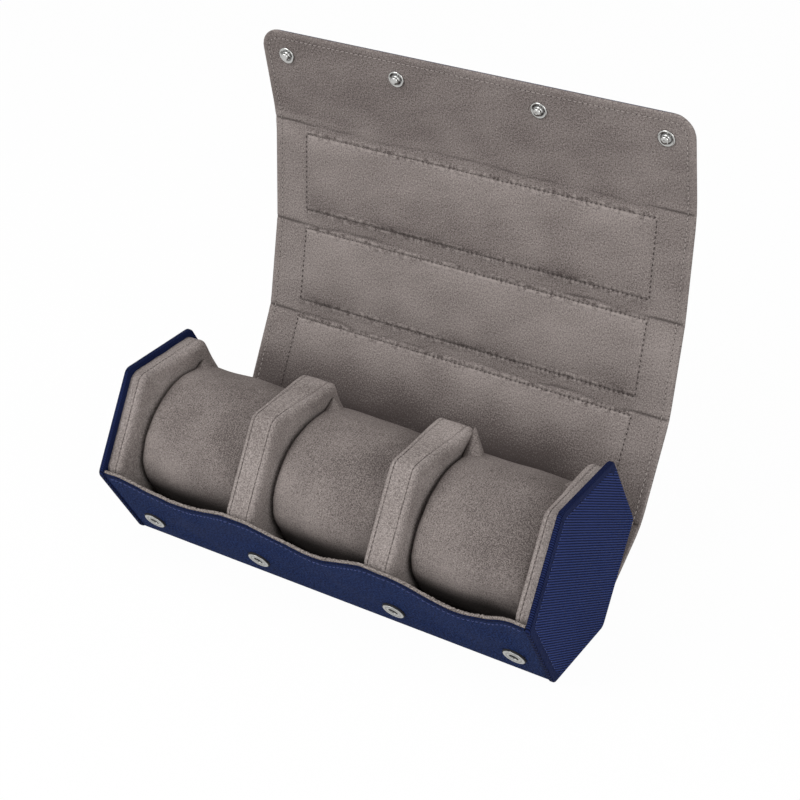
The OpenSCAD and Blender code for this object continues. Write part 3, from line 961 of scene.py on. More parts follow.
@dataclass
class Lid:
    """The lid: one cloth and one suede lining that run over four boards and the flap.

    A place on it is x along the case, s up the cloth from the base fold, and depth z from the cloth's middle
    towards the suede side.
    """

    sizes: CaseSizes
    finishes: Finishes
    folds: Array
    tilts: tuple[float, ...] = (0, 35, 62, 79, 87, 102)
    flap_len: float = 46.5
    flap_r: float = 10.0
    bends: tuple[float, ...] = (3.2, 7.5, 6.0, 6.0, 9.0)
    quilt_w: float = 177.0
    margins: tuple[tuple[float, float], ...] = ((6, 5), (8, 2.5), (6.5, 2.1), (7.4, 5.4))
    hem: float = 3.5
    top: float = 1.7
    rise: float = 0.9
    swell_reach: float = 3.6
    seam_depth: float = 0.34
    hem_depth: float = 0.16
    fold_depth: float = 0.6
    fine: float = 0.42
    under: float = -0.12
    cover_short: float = 0.7
    cover_inner: float = 0.35
    root: float = -9.0
    rim: float = 0.9
    first_stitch: float = 2.0
    level: Stitch = Stitch(2.25, 0.8, 0.2, 0.08)
    upright: Stitch = Stitch(2.25, 1.0, 0.24, 0.06)
    hole: Stitch = Stitch(2.4, 0.5, 0.17, 0.1, 1.0)
    hem_pale: Stitch = Stitch(2.4, 1.6, 0.21)
    hem_navy: Stitch = Stitch(2.4, 1.6, 0.2)
    bodies: tuple[str, ...] = (
        "tray", "back_lower_panel", "back_upper_panel", "top_panel", "front_upper_panel", "flap",
    )
    names: tuple[str, ...] = ("back_lower", "back_upper", "top", "front_upper", "flap")

    @property
    def starts(self) -> Array:
        """Distance of each fold and of the free edge from the base fold, along the cloth."""
        steps = np.linalg.norm(np.diff(self.folds, axis=0), axis=1)
        return np.concatenate([[0], np.cumsum(steps), [steps.sum() + self.flap_len]])

    def curve(self, s: Array) -> tuple[Array, Array]:
        """The cloth's middle line in y, z and its tilt.

        Each panel is straight. Within a fold's bend the line is an arc of radius bend / tan(turn / 2) that
        meets both panels without a corner.

        Args:
            s: Distances along the cloth.

        Returns:
            Points as y, z, and tilts in radians.
        """
        starts, tilt = self.starts, np.radians(np.array(self.tilts, float))
        panel = np.clip(np.searchsorted(starts[:-1], s, side="right"), 0, 5)
        origin = np.concatenate([self.folds[:1], self.folds])[panel]
        base = np.concatenate([[0], starts[:-1]])[panel]
        angle = tilt[panel]
        line = origin + (s - base)[..., None] * np.stack([np.cos(angle), np.sin(angle)], -1)
        nearest = np.abs(s[..., None] - starts[:-1]).argmin(-1)
        before, after = tilt[nearest], tilt[nearest + 1]
        bend = np.array(self.bends)[nearest]
        share = np.clip((s - starts[nearest] + bend) / (2 * bend), 0, 1)
        radius = bend / np.tan(np.maximum((after - before) / 2, 1e-6))
        first = self.folds[nearest] - bend[..., None] * np.stack([np.cos(before), np.sin(before)], -1)
        centre = first + radius[..., None] * np.stack([-np.sin(before), np.cos(before)], -1)
        now = before + (after - before) * share
        arc = centre + radius[..., None] * np.stack([np.sin(now), -np.cos(now)], -1)
        inside = (np.abs(s - starts[nearest]) < bend)[..., None]
        return np.where(inside, arc, line), np.where(inside[..., 0], now, angle)

    def place(self, x: Array, s: Array, z: Array) -> Array:
        """Turns places on the lid into points of the case's frame.

        Args:
            x: Places along the case.
            s: Places up the cloth.
            z: Heights above the cloth's middle.

        Returns:
            Points as x, y, z.
        """
        line, tilt = self.curve(s)
        y = line[..., 0] - np.sin(tilt) * z
        up = line[..., 1] + np.cos(tilt) * z
        return np.stack([x, y, up], -1)

    def normal(self, s: Array) -> Array:
        """Direction that the suede side faces."""
        tilt = self.curve(s)[1]
        return np.stack([np.zeros_like(tilt), -np.sin(tilt), np.cos(tilt)], -1)

    def half_at(self, s: Array, half: float) -> Array:
        """Half the lid's length at s: it draws in along a quarter circle at the flap's free corners.

        Args:
            s: Places up the cloth.
            half: Half the length below the corners.

        Returns:
            Half lengths.
        """
        end = self.starts[-1]
        up = np.clip(s - (end - self.flap_r), 0, self.flap_r)
        return half - self.flap_r + np.sqrt(np.maximum(self.flap_r**2 - up**2, 0))

    def from_edge(self, x: Array, s: Array) -> Array:
        """Distance of a place from the lid's free outline.

        Args:
            x: Places along the case.
            s: Places up the cloth.

        Returns:
            Distances, negative outside it.
        """
        half, end, r = self.sizes.wrap_half, self.starts[-1], self.flap_r
        across, up = half - np.abs(x), end - s
        round_it = r - np.hypot(np.maximum(r - across, 0), np.maximum(r - up, 0))
        return np.where((across < r) & (up < r), round_it, np.minimum(across, up))

    def in_quilt(self, x: Array, s: Array) -> tuple[Array, Array, Array]:
        """Distances inside the stitched rectangle of a place's panel, negative outside it.

        Args:
            x: Places along the case.
            s: Places up the cloth.

        Returns:
            Distance above the lower row, below the upper row and inside the nearer side row.
        """
        starts, margins = self.starts, np.array(self.margins)
        low = np.append(starts[:4] + margins[:, 0], 999.0)
        high = np.append(starts[1:5] - margins[:, 1], -999.0)
        panel = np.clip(np.searchsorted(starts, s, side="right") - 1, 0, 4)
        return s - low[panel], high[panel] - s, self.quilt_w / 2 - np.abs(x)

    def foot_shade(self, x: Array, s: Array) -> Array:
        """How far the lid's foot lies in the cushions' shade: all of it at the fold, less at the right."""
        return (1 - soft_step(s, 56, 88)) * (1 - 0.35 * soft_step(x, 50, 85))

    def nap(self, x: Array, s: Array, slack: Array) -> Array:
        """Shift of the suede's tone: random ripples, with painted light and shade.

        Painted light makes it paler under each rectangle's upper row, and painted shade darker over its lower row and
        between the rectangles. It is darker on the flap, less so to the right, paler in a band round s = 118, and
        along s = 88 paler at x = 30 and darker at x = -62. Painted shade of the cushions darkens the lid's foot, and
        painted shadows of the dividers and cushions darken two patches just above it.

        Args:
            x: Places along the case.
            s: Places up the cloth.
            slack: How far the cloth sags there, from 0 to 1.

        Returns:
            Shifts of the tone.
        """
        up, down, side = self.in_quilt(x, s)
        inside = soft_step(np.minimum(np.minimum(up, down), side), -0.2, 0.6)
        flap = self.starts[-2] + 3
        # painted light under the upper rows, painted shade over the lower rows
        lit = (0.2 + 0.08 * Ripple(29, 60).at(x, s * 0.4)) * np.exp(-np.maximum(down, 0) / 6.5) * inside
        shade = (0.16 + 0.2 * slack) * np.exp(-np.maximum(up, 0) / 6.0) * inside
        apart = (1 - inside) * (side > 0) * (s < flap)
        nap = lit - shade - 0.1 * apart + 0.05 * Ripple(33, 30).at(x, s)
        nap = np.where(s > flap, nap - 0.12 + 0.0007 * x, nap)
        # a paler band, and painted shade of the cushions at the lid's foot
        nap += 0.12 * bell(s - 118, 20) - 0.44 * self.foot_shade(x, s)
        nap += 0.12 * (bell(x - 30, 18) - 0.6 * bell(x + 62, 26)) * bell(s - 88, 5)
        # painted shadows of the dividers and cushions, just above the foot
        return nap - (0.12 * bell(x - 42, 13) * bell(s - 66, 11) + 0.1 * bell(x + 24, 14) * bell(s - 68, 12))

    def relief(self, x: Array, s: Array) -> tuple[Array, Marks]:
        """Height of the suede's face and its marks.

        The face lies at top, drops a little between the hem and the rectangles, swells inside each rectangle as
        1 - exp(-distance / swell_reach), dips by bells along the rows of stitches and along the folds, whose
        lines wander, and sags in places over the lower rows. Soft ripples lie over all of it. A mark of painted
        shade darkens the seams, the folds, the sagging lower rows and the lid's foot, and another mark carries
        painted light and shade in the nap.

        Args:
            x: Places along the case.
            s: Places up the cloth.

        Returns:
            Heights above the cloth's middle, and the marks of painted shade, wear, nap with painted light, row and
            dots.
        """
        edge = self.from_edge(x, s)
        up, down, side = self.in_quilt(x, s)
        quilt = np.minimum(np.minimum(up, down), side)
        fold = s[..., None] - self.starts[:-1]
        near = np.abs(fold).argmin(-1)
        between = soft_step(side, -6, 10)
        wander = 0.8 * Ripple(17, 58).at(x, 40.0 * near) + 0.35 * Ripple(18, 15).at(x, 25.0 * near)
        to_fold = np.take_along_axis(fold, near[..., None], -1)[..., 0] - wander * between
        broken = 1 - between * (0.45 + 0.35 * Ripple(19, 26).at(x, 33.0 * near))
        slack = np.clip(0.35 + 0.65 * Ripple(23, 52).at(x, 47.0 * near), 0, 1) * soft_step(side, -2, 8)
        row = np.where(side > -0.6, np.minimum(np.abs(up), np.abs(down)), 99.0)
        swell = np.where(quilt > 0, 1 - np.exp(-np.maximum(quilt, 0) / self.swell_reach), 0)
        seam, hem = bell(quilt, 0.75), bell(edge - self.hem, 0.5)
        crumple = bell(row - 1.6, 1.8)
        height = self.top - 0.3 * soft_step(edge, self.hem, self.hem + 2.5) + self.rise * swell
        height -= self.seam_depth * seam * (1 + 0.4 * Ripple(41, 4).at(x, s))
        height -= self.hem_depth * hem + self.fold_depth * broken * bell(to_fold, 1.0)
        height += 0.22 * slack * bell(up - 2.2, 1.5) + 0.12 * crumple * Ripple(5, 5).at(x, s * 1.6)
        height += 0.10 * Ripple(11, 26).at(x, s) * soft_step(edge, 2, 9)
        height = np.maximum(height, 1.3 + 0.44 * soft_step(quilt, 0.2, 1.1))
        # painted shade in the seams, the hem and the folds
        painted_shade = 0.1 * seam + 0.05 * hem + (0.9 - 0.3 * between) * broken * bell(to_fold, 0.65)
        marks = {
            # painted shade over the sagging lower rows and at the lid's foot
            "painted_shade": painted_shade + 0.3 * slack * bell(up - 1.1, 2.2) + 0.44 * self.foot_shade(x, s),
            "wear": 0.3 * bell(edge - 0.7, 0.9),
            "nap": self.nap(x, s, slack),
            "row": bell(row - 0.9, 1.1) * (edge > 6),
            "dots": 0.8 * bell(row, 0.5) * (edge > 6),
        }
        return height, marks

    def slab(
        self,
        xs: Array,
        s: Array,
        half: float,
        under: float,
        top: Callable[[Array, Array], tuple[Array, Marks]],
        ends_at_edge: bool,
    ) -> tuple[Array, Array, Marks]:
        """Rings round the lid's thickness, one for each s.

        A ring runs over the face from left to right, round the edge as a half circle and back below. Where the
        slab ends at the free edge, extra rings close in on the middle of the thickness as a quarter circle.

        Args:
            xs: Columns as shares of the half length, from -1 to 1.
            s: Stations up the cloth.
            half: Half length of the slab.
            under: Depth of the slab's lower face.
            top: Gives the upper face's height and marks at x, s.
            ends_at_edge: Whether the last station is the free edge.

        Returns:
            Rings of points, the flat place of each point, and the marks.
        """
        roll = (self.top - under) / 2
        fade, drawn = np.ones_like(s), np.zeros_like(s)
        if ends_at_edge:
            turn = np.linspace(0, math.radians(86), 6)[1:]
            s = np.concatenate([s[s < s[-1] - roll], s[-1] - roll * (1 - np.sin(np.concatenate([[0], turn])))])
            fade = np.concatenate([np.ones(len(s) - len(turn)), np.cos(turn)])
            drawn = np.concatenate([np.zeros(len(s) - len(turn)), roll * (1 - np.cos(turn))])
        wide = self.half_at(s, half) - drawn
        x = xs[None, :] * (wide - roll)[:, None]
        grid = np.broadcast_to(s[:, None], x.shape)
        height, face_marks = top(x, grid)
        rim = np.radians(np.linspace(90, -90, 9)[1:-1])
        split = len(rim) // 2
        rim_x = (wide - roll)[:, None] + roll * np.cos(rim)
        rim_z = (height[:, -1:] + under) / 2 + (height[:, -1:] - under) / 2 * np.sin(rim)
        left_z = (height[:, :1] + under) / 2 + (height[:, :1] - under) / 2 * np.sin(rim[::-1])
        ring_x = np.concatenate([-rim_x[:, split:], x, rim_x, x[:, ::-1], -rim_x[:, :split]], 1)
        z = np.concatenate([left_z[:, split:], height, rim_z, np.full_like(x, under), left_z[:, :split]], 1)
        centre = (self.top + under) / 2
        z = centre + (z - centre) * fade[:, None]
        ring_s = np.broadcast_to(s[:, None], ring_x.shape)
        blank = np.zeros_like(rim_x)
        marks = {
            key: np.concatenate([blank[:, split:], face, blank, face * 0, blank[:, :split]], 1)
            for key, face in face_marks.items()
        }
        below = np.concatenate([np.zeros(x.shape[1] + len(rim) + split + 1), np.ones(x.shape[1]), np.zeros(split)])
        beyond = np.abs(ring_x) > wide[:, None] - roll
        flat = np.stack([ring_x + (z - under) * 0.7 * beyond, ring_s + below * 0.01], -1)
        return self.place(ring_x, ring_s, z), flat, marks

    def span(self, fold: int) -> tuple[float, float]:
        """Where the piece over a fold starts and ends: from the middle of one panel to the middle of the next.

        Args:
            fold: Number of the fold, from the base.

        Returns:
            Both places up the cloth.
        """
        starts = self.starts
        low = self.root if fold == 0 else (starts[fold - 1] + starts[fold]) / 2
        high = starts[-1] if fold == 4 else (starts[fold] + starts[fold + 1]) / 2
        return low, high

    def stations(self, fold: int, coarse: float) -> Array:
        """Stations of the piece over a fold, close together at the fold, the stitches and the free edge.

        Args:
            fold: Number of the fold.
            coarse: Spacing away from folds and stitches.

        Returns:
            Places up the cloth.
        """
        low, high = self.span(fold)
        starts = self.starts
        marks = [starts[fold]]
        marks += [starts[k] + m[0] for k, m in enumerate(self.margins)]
        marks += [starts[k + 1] - m[1] for k, m in enumerate(self.margins)]
        if fold == 4:
            marks += [high - self.hem, high - 0.5]
        return graded(low, high, coarse, self.fine, marks, 1.6)

    def columns(self) -> Array:
        """Columns as shares of the half length, close together at the hem and the rectangles' sides.

        Returns:
            Shares from -1 to 1.
        """
        half = self.sizes.wrap_half - self.rim
        spots = [self.quilt_w / 2, half + self.rim - self.hem]
        xs = graded(-half, half, 2.4, self.fine, [-m for m in spots] + spots, 1.4)
        return xs / half

    def bent(self, piece: Piece) -> Piece:
        """Bakes a piece's placement into its mesh.

        Args:
            piece: The piece.

        Returns:
            The same piece.
        """
        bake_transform(piece)
        return piece

    def make_lining(self, fold: int) -> None:
        """Makes the suede over a fold.

        Args:
            fold: Number of the fold.
        """
        xs, stations = self.columns(), self.stations(fold, 2.2)

        def face(x: Array, s: Array) -> tuple[Array, Marks]:
            """The suede's face, raised to the tray's lining before the base fold."""
            height, marks = self.relief(x, s)
            climb = 1 - soft_step(s, -5.0, -1.2)
            return height + climb * (self.sizes.floor_z - self.sizes.skin - height), marks

        rings, flat, marks = self.slab(xs, stations, self.sizes.wrap_half, self.under, face, fold == 4)
        piece = put_sheet(f"lid_lining_{self.names[fold]}", rings, flat, marks, self.finishes.lining)
        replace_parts(self.bent(piece), f"{self.names[fold]}_lining")

    def make_cover(self, fold: int) -> None:
        """Makes the navy cloth over a fold.

        Args:
            fold: Number of the fold.
        """
        half = self.sizes.wrap_half - self.cover_short
        xs = np.linspace(-1, 1, 61)
        stations = self.stations(fold, 4.0)

        def face(x: Array, s: Array) -> tuple[Array, Marks]:
            """The cloth's inner face, hidden in the lining."""
            return np.full_like(x, self.cover_inner), {"painted_shade": 0 * x}

        rings, flat, marks = self.slab(xs, stations, half, -self.sizes.skin, face, fold == 4)
        piece = put_sheet(f"lid_cloth_{self.names[fold]}", rings, flat, marks, self.finishes.wrap)
        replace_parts(self.bent(piece), f"{self.names[fold]}_cover")

    def row_on_face(self, x: Array, s: Array, stitch: Stitch) -> Array:
        """Stitches along a row of places on the suede's face."""
        return stitch.row(self.place(x, s, self.relief(x, s)[0]), self.normal(s))

    def quilt_rows(self, low: float, high: float) -> Rows:
        """Rows of the stitched rectangles between two places up the cloth, as x and s.

        Args:
            low: Lower place up the cloth.
            high: Upper place up the cloth.

        Returns:
            The x and s of each row's points.
        """
        rows, half = [], self.quilt_w / 2
        for k, (below, above) in enumerate(self.margins):
            bottom, top = self.starts[k] + below, self.starts[k + 1] - above
            run = np.arange(-half, half + 0.1, 0.5)
            rows += [(run, np.full_like(run, level)) for level in (bottom, top) if low < level < high]
            climb = np.arange(max(bottom, low), min(top, high), 0.5)
            if len(climb) > 8:
                rows += [(np.full_like(climb, side * half), climb) for side in (-1, 1)]
        return rows

    def hem_rows(self, fold: int, low: float, high: float) -> Rows:
        """The hem's rows on both sides between two places up the cloth; on the flap they meet along its edge.

        Args:
            fold: Number of the fold.
            low: Lower place up the cloth.
            high: Upper place up the cloth.

        Returns:
            The x and s of each row's points.
        """
        hem_x = self.sizes.wrap_half - self.hem
        if fold < 4:
            x, s = np.full(int((high - low) * 2), hem_x), np.linspace(low, high, int((high - low) * 2))
        else:
            radius = self.flap_r - self.hem
            turn = np.radians(np.linspace(0, 90, 30))
            climb = np.arange(low, high - self.flap_r, 0.5)
            across = np.arange(hem_x - radius, 0, -0.5)
            x = np.concatenate([np.full_like(climb, hem_x), hem_x - radius + radius * np.cos(turn), across])
            up = high - self.flap_r
            s = np.concatenate([climb, up + radius * np.sin(turn), np.full_like(across, high - self.hem)])
        return [(side * x, s) for side in (-1, 1)]

    def make_stitches(self, fold: int) -> None:
        """Makes the stitches of the piece over a fold: the rectangles' rows, and the hem's with its holes.

        Args:
            fold: Number of the fold.
        """
        low, high = self.span(fold)
        low = max(low, self.first_stitch)
        name = self.names[fold]
        rows = [
            self.row_on_face(x, s, self.upright if x[0] == x[-1] else self.level)
            for x, s in self.quilt_rows(low, high)
        ]
        hems = self.hem_rows(fold, low, high)
        holes = [self.row_on_face(x, s, self.hole) for x, s in hems]
        self.bent(put_stitches(f"dark_thread_{name}", rows + holes, self.finishes.dark_thread))
        outer = [self.hem_navy.row(self.place(x, s, 0 * s - self.sizes.skin), -self.normal(s)) for x, s in hems]
        self.bent(put_stitches(f"outer_thread_{name}", outer, self.finishes.navy_thread))
        pale = [self.row_on_face(x, s, self.hem_pale) for x, s in hems]
        self.bent(put_stitches(f"hem_thread_{name}", pale, self.finishes.grey_thread))

    def make(self) -> None:
        """Makes the whole lid."""
        for fold in range(5):
            self.make_lining(fold)
            self.make_cover(fold)
            self.make_stitches(fold)


# ---- tray ----


@dataclass
class Tray:
    """The tray's cloth and lining: each is one sheet that covers the base and turns up into the front lip."""

    sizes: CaseSizes
    finishes: Finishes
    turn_r: float = 1.0
    lip_edge: float = 0.6
    cover_back: float = 16.0
    lining_back: float = 13.6
    thread_down: float = 3.0
    stations: int = 420

    def dents(self, x: Array, up: Array) -> Array:
        """How far the lip gives way inwards: broad ripples that fade at the studs, the ends and the base turn.

        Args:
            x: Places along the case.
            up: Distances up the lip.

        Returns:
            Depths of the dents.
        """
        size = self.sizes
        room = soft_step(up, 3, 14) * soft_step(size.wrap_half - np.abs(x), 0, 12)
        for stud in size.stud_x:
            room = room * (1 - bell(np.hypot(x - stud, up - size.stud_up), 9))
        return room * (0.32 + 0.28 * Ripple(21, 46).at(x, up * 1.5) + 0.1 * Ripple(22, 15).at(x, up))

    def sheet(
        self,
        xs: Array,
        back: float,
        low: float,
        high: float,
        deep: float,
        inner: float,
        rise: Array,
        bead: float = 1.0,
    ) -> tuple[Array, Array, Array]:
        """Rings round a sheet's thickness, one for each x.

        A ring starts at the back edge, follows the lower face to the front, turns up with the radius of the
        base turn, climbs the lip, rounds its top as a half circle and comes back on the other side.

        Args:
            xs: Stations along the case.
            back: The sheet's back edge.
            low: Height of its lower face on the base.
            high: Height of its upper face on the base.
            deep: Depth of its outer face inside the front face.
            inner: Depth of its inner face.
            rise: How far its edge stands above the lip's line, at each x.
            bead: Thickness of its edge over the sheet's own.

        Returns:
            Rings of points, the flat place of each point, and the distance of each below the lip's top.
        """
        size, thick = self.sizes, high - low
        top = size.lip_top(xs) + rise
        share = np.linspace(0, 1, 26) ** 0.9

        def path(level: float, depth: float, radius: float) -> tuple[Array, Array]:
            """One face of the sheet: its y, z on the base and turn, and its start up the lip.

            Args:
                level: Height on the base.
                depth: Depth inside the front.
                radius: Radius of the turn.

            Returns:
                The line as y, z, and its last point.
            """
            insets = np.array([level, 0, 0, 0, 0, depth]) + radius
            centre = size.hexagon.corners(insets)[5]
            turn = np.radians(np.linspace(270, 210, 7))
            arc = centre + radius * np.stack([np.cos(turn), np.sin(turn)], -1)
            run = np.linspace(back, arc[0, 0], 16)[:-1]
            base = np.stack([run, np.full_like(run, level)], -1)
            return np.concatenate([base, arc]), arc[-1]

        def climb(start: Array, depth: float) -> Array:
            """Points up the lip in its own frame, from the turn to just below its top, one line for each x.

            Args:
                start: Last point of the turn.
                depth: Depth inside the front.

            Returns:
                Points as x, y, z.
            """
            up0 = (start[1] + depth * 0.5) / math.sin(CORNER)
            up = up0 + (top[:, None] - thick / 2 - up0) * share[None, 1:]
            x = np.broadcast_to(xs[:, None], up.shape)
            return size.on_lip(np.stack([x, up, -depth - self.dents(x, up)], -1))

        def along(line: Array) -> Array:
            """The same y, z line at every x."""
            x = np.broadcast_to(xs[:, None, None], (len(xs), len(line), 1))
            return np.concatenate([x, np.broadcast_to(line, (len(xs), *line.shape))], -1)

        outer, outer_end = path(low, deep, self.turn_r + thick)
        inside, inner_end = path(high, inner, self.turn_r)
        turn = np.radians(np.linspace(90, -90, 7)[1:-1])
        mid, round_r = (deep + inner) / 2, bead * thick / 2
        lift = top[:, None] - thick / 2 + round_r * np.cos(turn)
        x = np.broadcast_to(xs[:, None], lift.shape)
        crest = size.on_lip(np.stack([x, lift, -mid + round_r * np.sin(turn) - self.dents(x, lift)], -1))
        back_mid = np.array([[back, (low + high) / 2]])
        up, down = climb(outer_end, deep), climb(inner_end, inner)[:, ::-1]
        rings = np.concatenate([along(back_mid), along(outer), up, crest, down, along(inside[::-1])], 1)
        run = np.cumsum(np.linalg.norm(np.diff(rings, axis=1), axis=2), axis=1)
        run = np.concatenate([np.zeros((len(xs), 1)), run], 1)
        flat = np.stack([np.broadcast_to(xs[:, None], run.shape), run], -1)
        crest_at = len(outer) + share.size + 2
        return rings, flat, np.abs(run - run[:, crest_at : crest_at + 1])

    def make(self) -> None:
        """Makes the cloth, the lining and the row of stitches under the lip's edge."""
        xs = np.linspace(-self.sizes.wrap_half, self.sizes.wrap_half, self.stations)
        self.make_cover(xs)
        self.make_lining(xs)
        self.make_thread()

    def make_cover(self, xs: Array) -> None:
        """Makes the navy cloth, with painted shade under the lip's edge and along its row of stitches.

        Args:
            xs: Stations along the case.
        """
        size = self.sizes
        outer = size.lip_recess
        rings, flat, below = self.sheet(
            xs, self.cover_back, 0.0, size.cover_t, outer, outer + size.cover_t, np.zeros_like(xs)
        )
        # painted shade: a dark line just under the suede edge, and a faint one along the stitches
        marks = {"painted_shade": 0.25 * bell(below - 3.2, 0.45) + 1.2 * bell(below - 0.7, 0.8)}
        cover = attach(put_sheet("tray_cloth", rings, flat, marks, self.finishes.wrap), "tray")
        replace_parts(cover, "tray_cover")

    def make_lining(self, xs: Array) -> None:
        """Makes the suede, whose edge stands above the cloth and frays a little, most in the dips.

        Painted shade darkens it inside the lip, below the edge, and less further down.

        Args:
            xs: Stations along the case.
        """
        size = self.sizes
        dipped = np.clip((size.hexagon.slant - 2 - size.lip_top(xs)) / 6, 0, 1)
        fuzz = self.lip_edge + (0.12 + 0.26 * dipped) * Ripple(31, 1.8).at(xs, xs * 0)
        fuzz = fuzz + 0.12 * Ripple(32, 9).at(xs, xs * 0)
        low, deep = size.cover_t + size.base_board_t, size.lip_recess + size.cover_t - 0.1
        rings, flat, below = self.sheet(xs, self.lining_back, low, size.floor_z, deep, size.lip_in, fuzz, 1.15)
        # painted shade deep inside the lip, fading towards the floor
        hidden = soft_step(below, 0.9, 2.8) - 0.6 * soft_step(below, 18, 34)
        marks = {"wear": 0.2 * bell(below, 0.8), "painted_shade": 1.15 * hidden}
        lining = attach(put_sheet("tray_suede", rings, flat, marks, self.finishes.edge), "tray")
        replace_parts(lining, "tray_lining")

    def make_thread(self) -> None:
        """Makes the row of stitches that follows the lip's edge."""
        size = self.sizes
        run = np.linspace(-size.wrap_half + 2, size.wrap_half - 2, 900)
        up = size.lip_top(run) - self.thread_down
        path = size.on_lip(np.stack([run, up, -size.lip_recess - self.dents(run, up)], -1))
        out = np.broadcast_to(size.on_lip(np.array([0.0, 0, 1])) - size.on_lip(np.zeros(3)), path.shape)
        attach(put_stitches("lip_thread", [Stitch(sink=0.12).row(path, out)], self.finishes.navy_thread), "tray")


# ---- padded blocks ----


@dataclass
class PaddedBlock:
    """A foam block in sewn suede with the case's section.

    A plump band runs between its two faces, with a fine seam beside each.
    """

    sizes: CaseSizes
    finishes: Finishes
    seam_in: float = 2.7
    face_roll: float = 3.2
    seam_draw: float = 0.36
    band_draw: float = 0.17
    corner: float = 5.2
    seed: int = 1
    thread: Stitch = Stitch(2.1, 1.4, 0.13, 0.12)

    def insets(self, lid: float) -> Array:
        """How far each face lies inside the case's edge: base, four lid faces and lip."""
        return np.array([self.sizes.floor_z, lid, lid, lid, lid, self.sizes.lip_in + 0.05])

    def outline(self, insets: Array, draw: Array) -> Array:
        """Outlines of the block as y, z, one for each draw-in."""
        return self.sizes.hexagon.ring(insets, self.corner, draw, 22, 8)

    def face_steps(self) -> Array:
        """Depth from the face and draw-in of each ring from the face's middle out to the seam and the band.

        The face is level and rolls over its edge as a quarter of an ellipse. Beyond it a narrow groove, a bell
        round the depth seam_in, holds the row of stitches.

        Returns:
            Depth and draw-in of each ring.
        """
        turn = np.radians(np.linspace(0, 90, 9))
        inner = np.array([[0.0, d] for d in (26, 21, 16, 11.5, 8.5, 6.5, 5.0, 4.0)])
        roll = np.stack([(self.seam_in - 0.5) * (1 - np.cos(turn)), self.face_roll * (1 - np.sin(turn)) + 0.05], -1)
        deep = self.seam_in + np.array([-0.3, -0.15, 0.0, 0.15, 0.35, 0.7, 1.2])
        seam = np.stack([deep, 0.05 + 0.34 * bell(deep - self.seam_in, 0.2) + 0.12 * soft_step(deep, 2.7, 3.8)], -1)
        return np.concatenate([inner, roll, seam])

    def block(self, name: str, stations: Array, insets: Array, lean: float, flare: tuple[float, float]) -> Piece:
        """Makes a block from its stations.

        Args:
            name: Name of the piece.
            stations: x and draw-in of each ring, from one face's middle to the other's.
            insets: How far each side lies inside the case's edge.
            lean: How far the band swells between its seams.
            flare: How far the two sides, low x first, spread at the upper back corner, where no cushion holds them.

        Returns:
            The new piece, riding on the tray.
        """
        x, draw = stations[:, 0], stations[:, 1]
        rings = self.outline(insets, draw)
        low, high = x.min(), x.max()
        grid_x = np.broadcast_to(x[:, None], rings.shape[:2])
        y, z = rings[..., 0], rings[..., 1]
        deep = soft_step(draw, 1.4, 9.0)[:, None]
        soft = Ripple(self.seed, 24).at(y, z)
        bulge = np.sign(grid_x - (low + high) / 2) * (0.14 * soft - 0.1) * deep
        share = (grid_x - (low + high) / 2) / ((high - low) / 2)
        bulge = bulge + share * np.where(share < 0, *flare) * soft_step(z, 64, 82) * soft_step(y, -16, 16)
        middle = np.array([0, self.sizes.hexagon.height / 2])
        away = rings - middle
        away = away / np.linalg.norm(away, axis=-1, keepdims=True)
        run = np.linspace(0, 250, rings.shape[1])[None, :]
        band = (1 - deep) * soft_step(np.minimum(grid_x - low, high - grid_x), 2.4, 6.0)
        swell = band * lean + (1 - deep) * (0.07 * Ripple(self.seed + 7, 13).at(run + 0 * grid_x, grid_x * 2) - 0.07)
        points = np.concatenate([(grid_x + bulge)[..., None], rings + away * swell[..., None]], -1)
        points, faces = capped(points)
        seam_x = np.minimum(np.abs(grid_x - low), np.abs(high - grid_x)) - self.seam_in
        side = (draw < 1.3)[:, None]
        patchy = 0.75 + 0.25 * Ripple(self.seed + 3, 9).at(run + 0 * grid_x, 0 * grid_x)
        # painted shade in the seam's groove
        painted_shade = np.where(side, 0.22 * bell(seam_x, 0.3) * patchy, 0)
        wear = np.where(side, 0.35 * bell(seam_x + 0.8, 0.6) + 0.2 * bell(seam_x - 0.8, 0.6), 0)
        nap = 0.07 * Ripple(self.seed + 5, 30).at(y, z) + 0.04 * deep
        marks = {"painted_shade": painted_shade, "wear": wear, "nap": nap}
        marks = {key: np.concatenate([value.ravel(), [0, 0]]) for key, value in marks.items()}
        piece = put_mesh(name, points, faces, self.finishes.suede, marks)
        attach(piece, "tray")
        return piece

    def seam_row(self, x: float, insets: Array) -> Array:
        """Stitches round the block in the groove at x.

        Args:
            x: Place of the groove.
            insets: The block's insets.

        Returns:
            The stitches.
        """
        ring = self.outline(insets, np.array([self.seam_draw]))[0]
        ring = np.concatenate([ring, ring[:1]])
        path = np.concatenate([np.full((len(ring), 1), x), ring], 1)
        out = path - np.array([x, 0, self.sizes.hexagon.height / 2])
        return self.thread.row(path, out / np.linalg.norm(out, axis=1, keepdims=True))


@dataclass
class Divider(PaddedBlock):
    """A divider between two bays, sewn with a seam beside each face."""

    lid_room: float = 3.0
    lean: float = 0.2
    flare: tuple[float, float] = (1.4, 3.2)

    def make(self, side: Side) -> None:
        """Makes the divider on one side of the middle.

        Args:
            side: The side of the middle.
        """
        size = self.sizes
        middle, half = side.value * size.divider_x, size.divider_t / 2
        steps = self.face_steps()
        band = np.array([[size.divider_t * share, self.band_draw] for share in (0.32, 0.41, 0.5, 0.59, 0.68)])
        mirror = np.stack([size.divider_t - steps[::-1, 0], steps[::-1, 1]], -1)
        stations = np.concatenate([steps, band, mirror])
        stations[:, 0] += middle - half
        insets = self.insets(self.lid_room)
        piece = self.block(f"divider_pad_{side.word}", stations, insets, self.lean, self.flare)
        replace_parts(piece, f"divider_{side.word}")
        rows = [self.seam_row(middle + way * (half - self.seam_in), insets) for way in (-1, 1)]
        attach(put_stitches(f"divider_thread_{side.word}", rows, self.finishes.dark_thread), "tray")


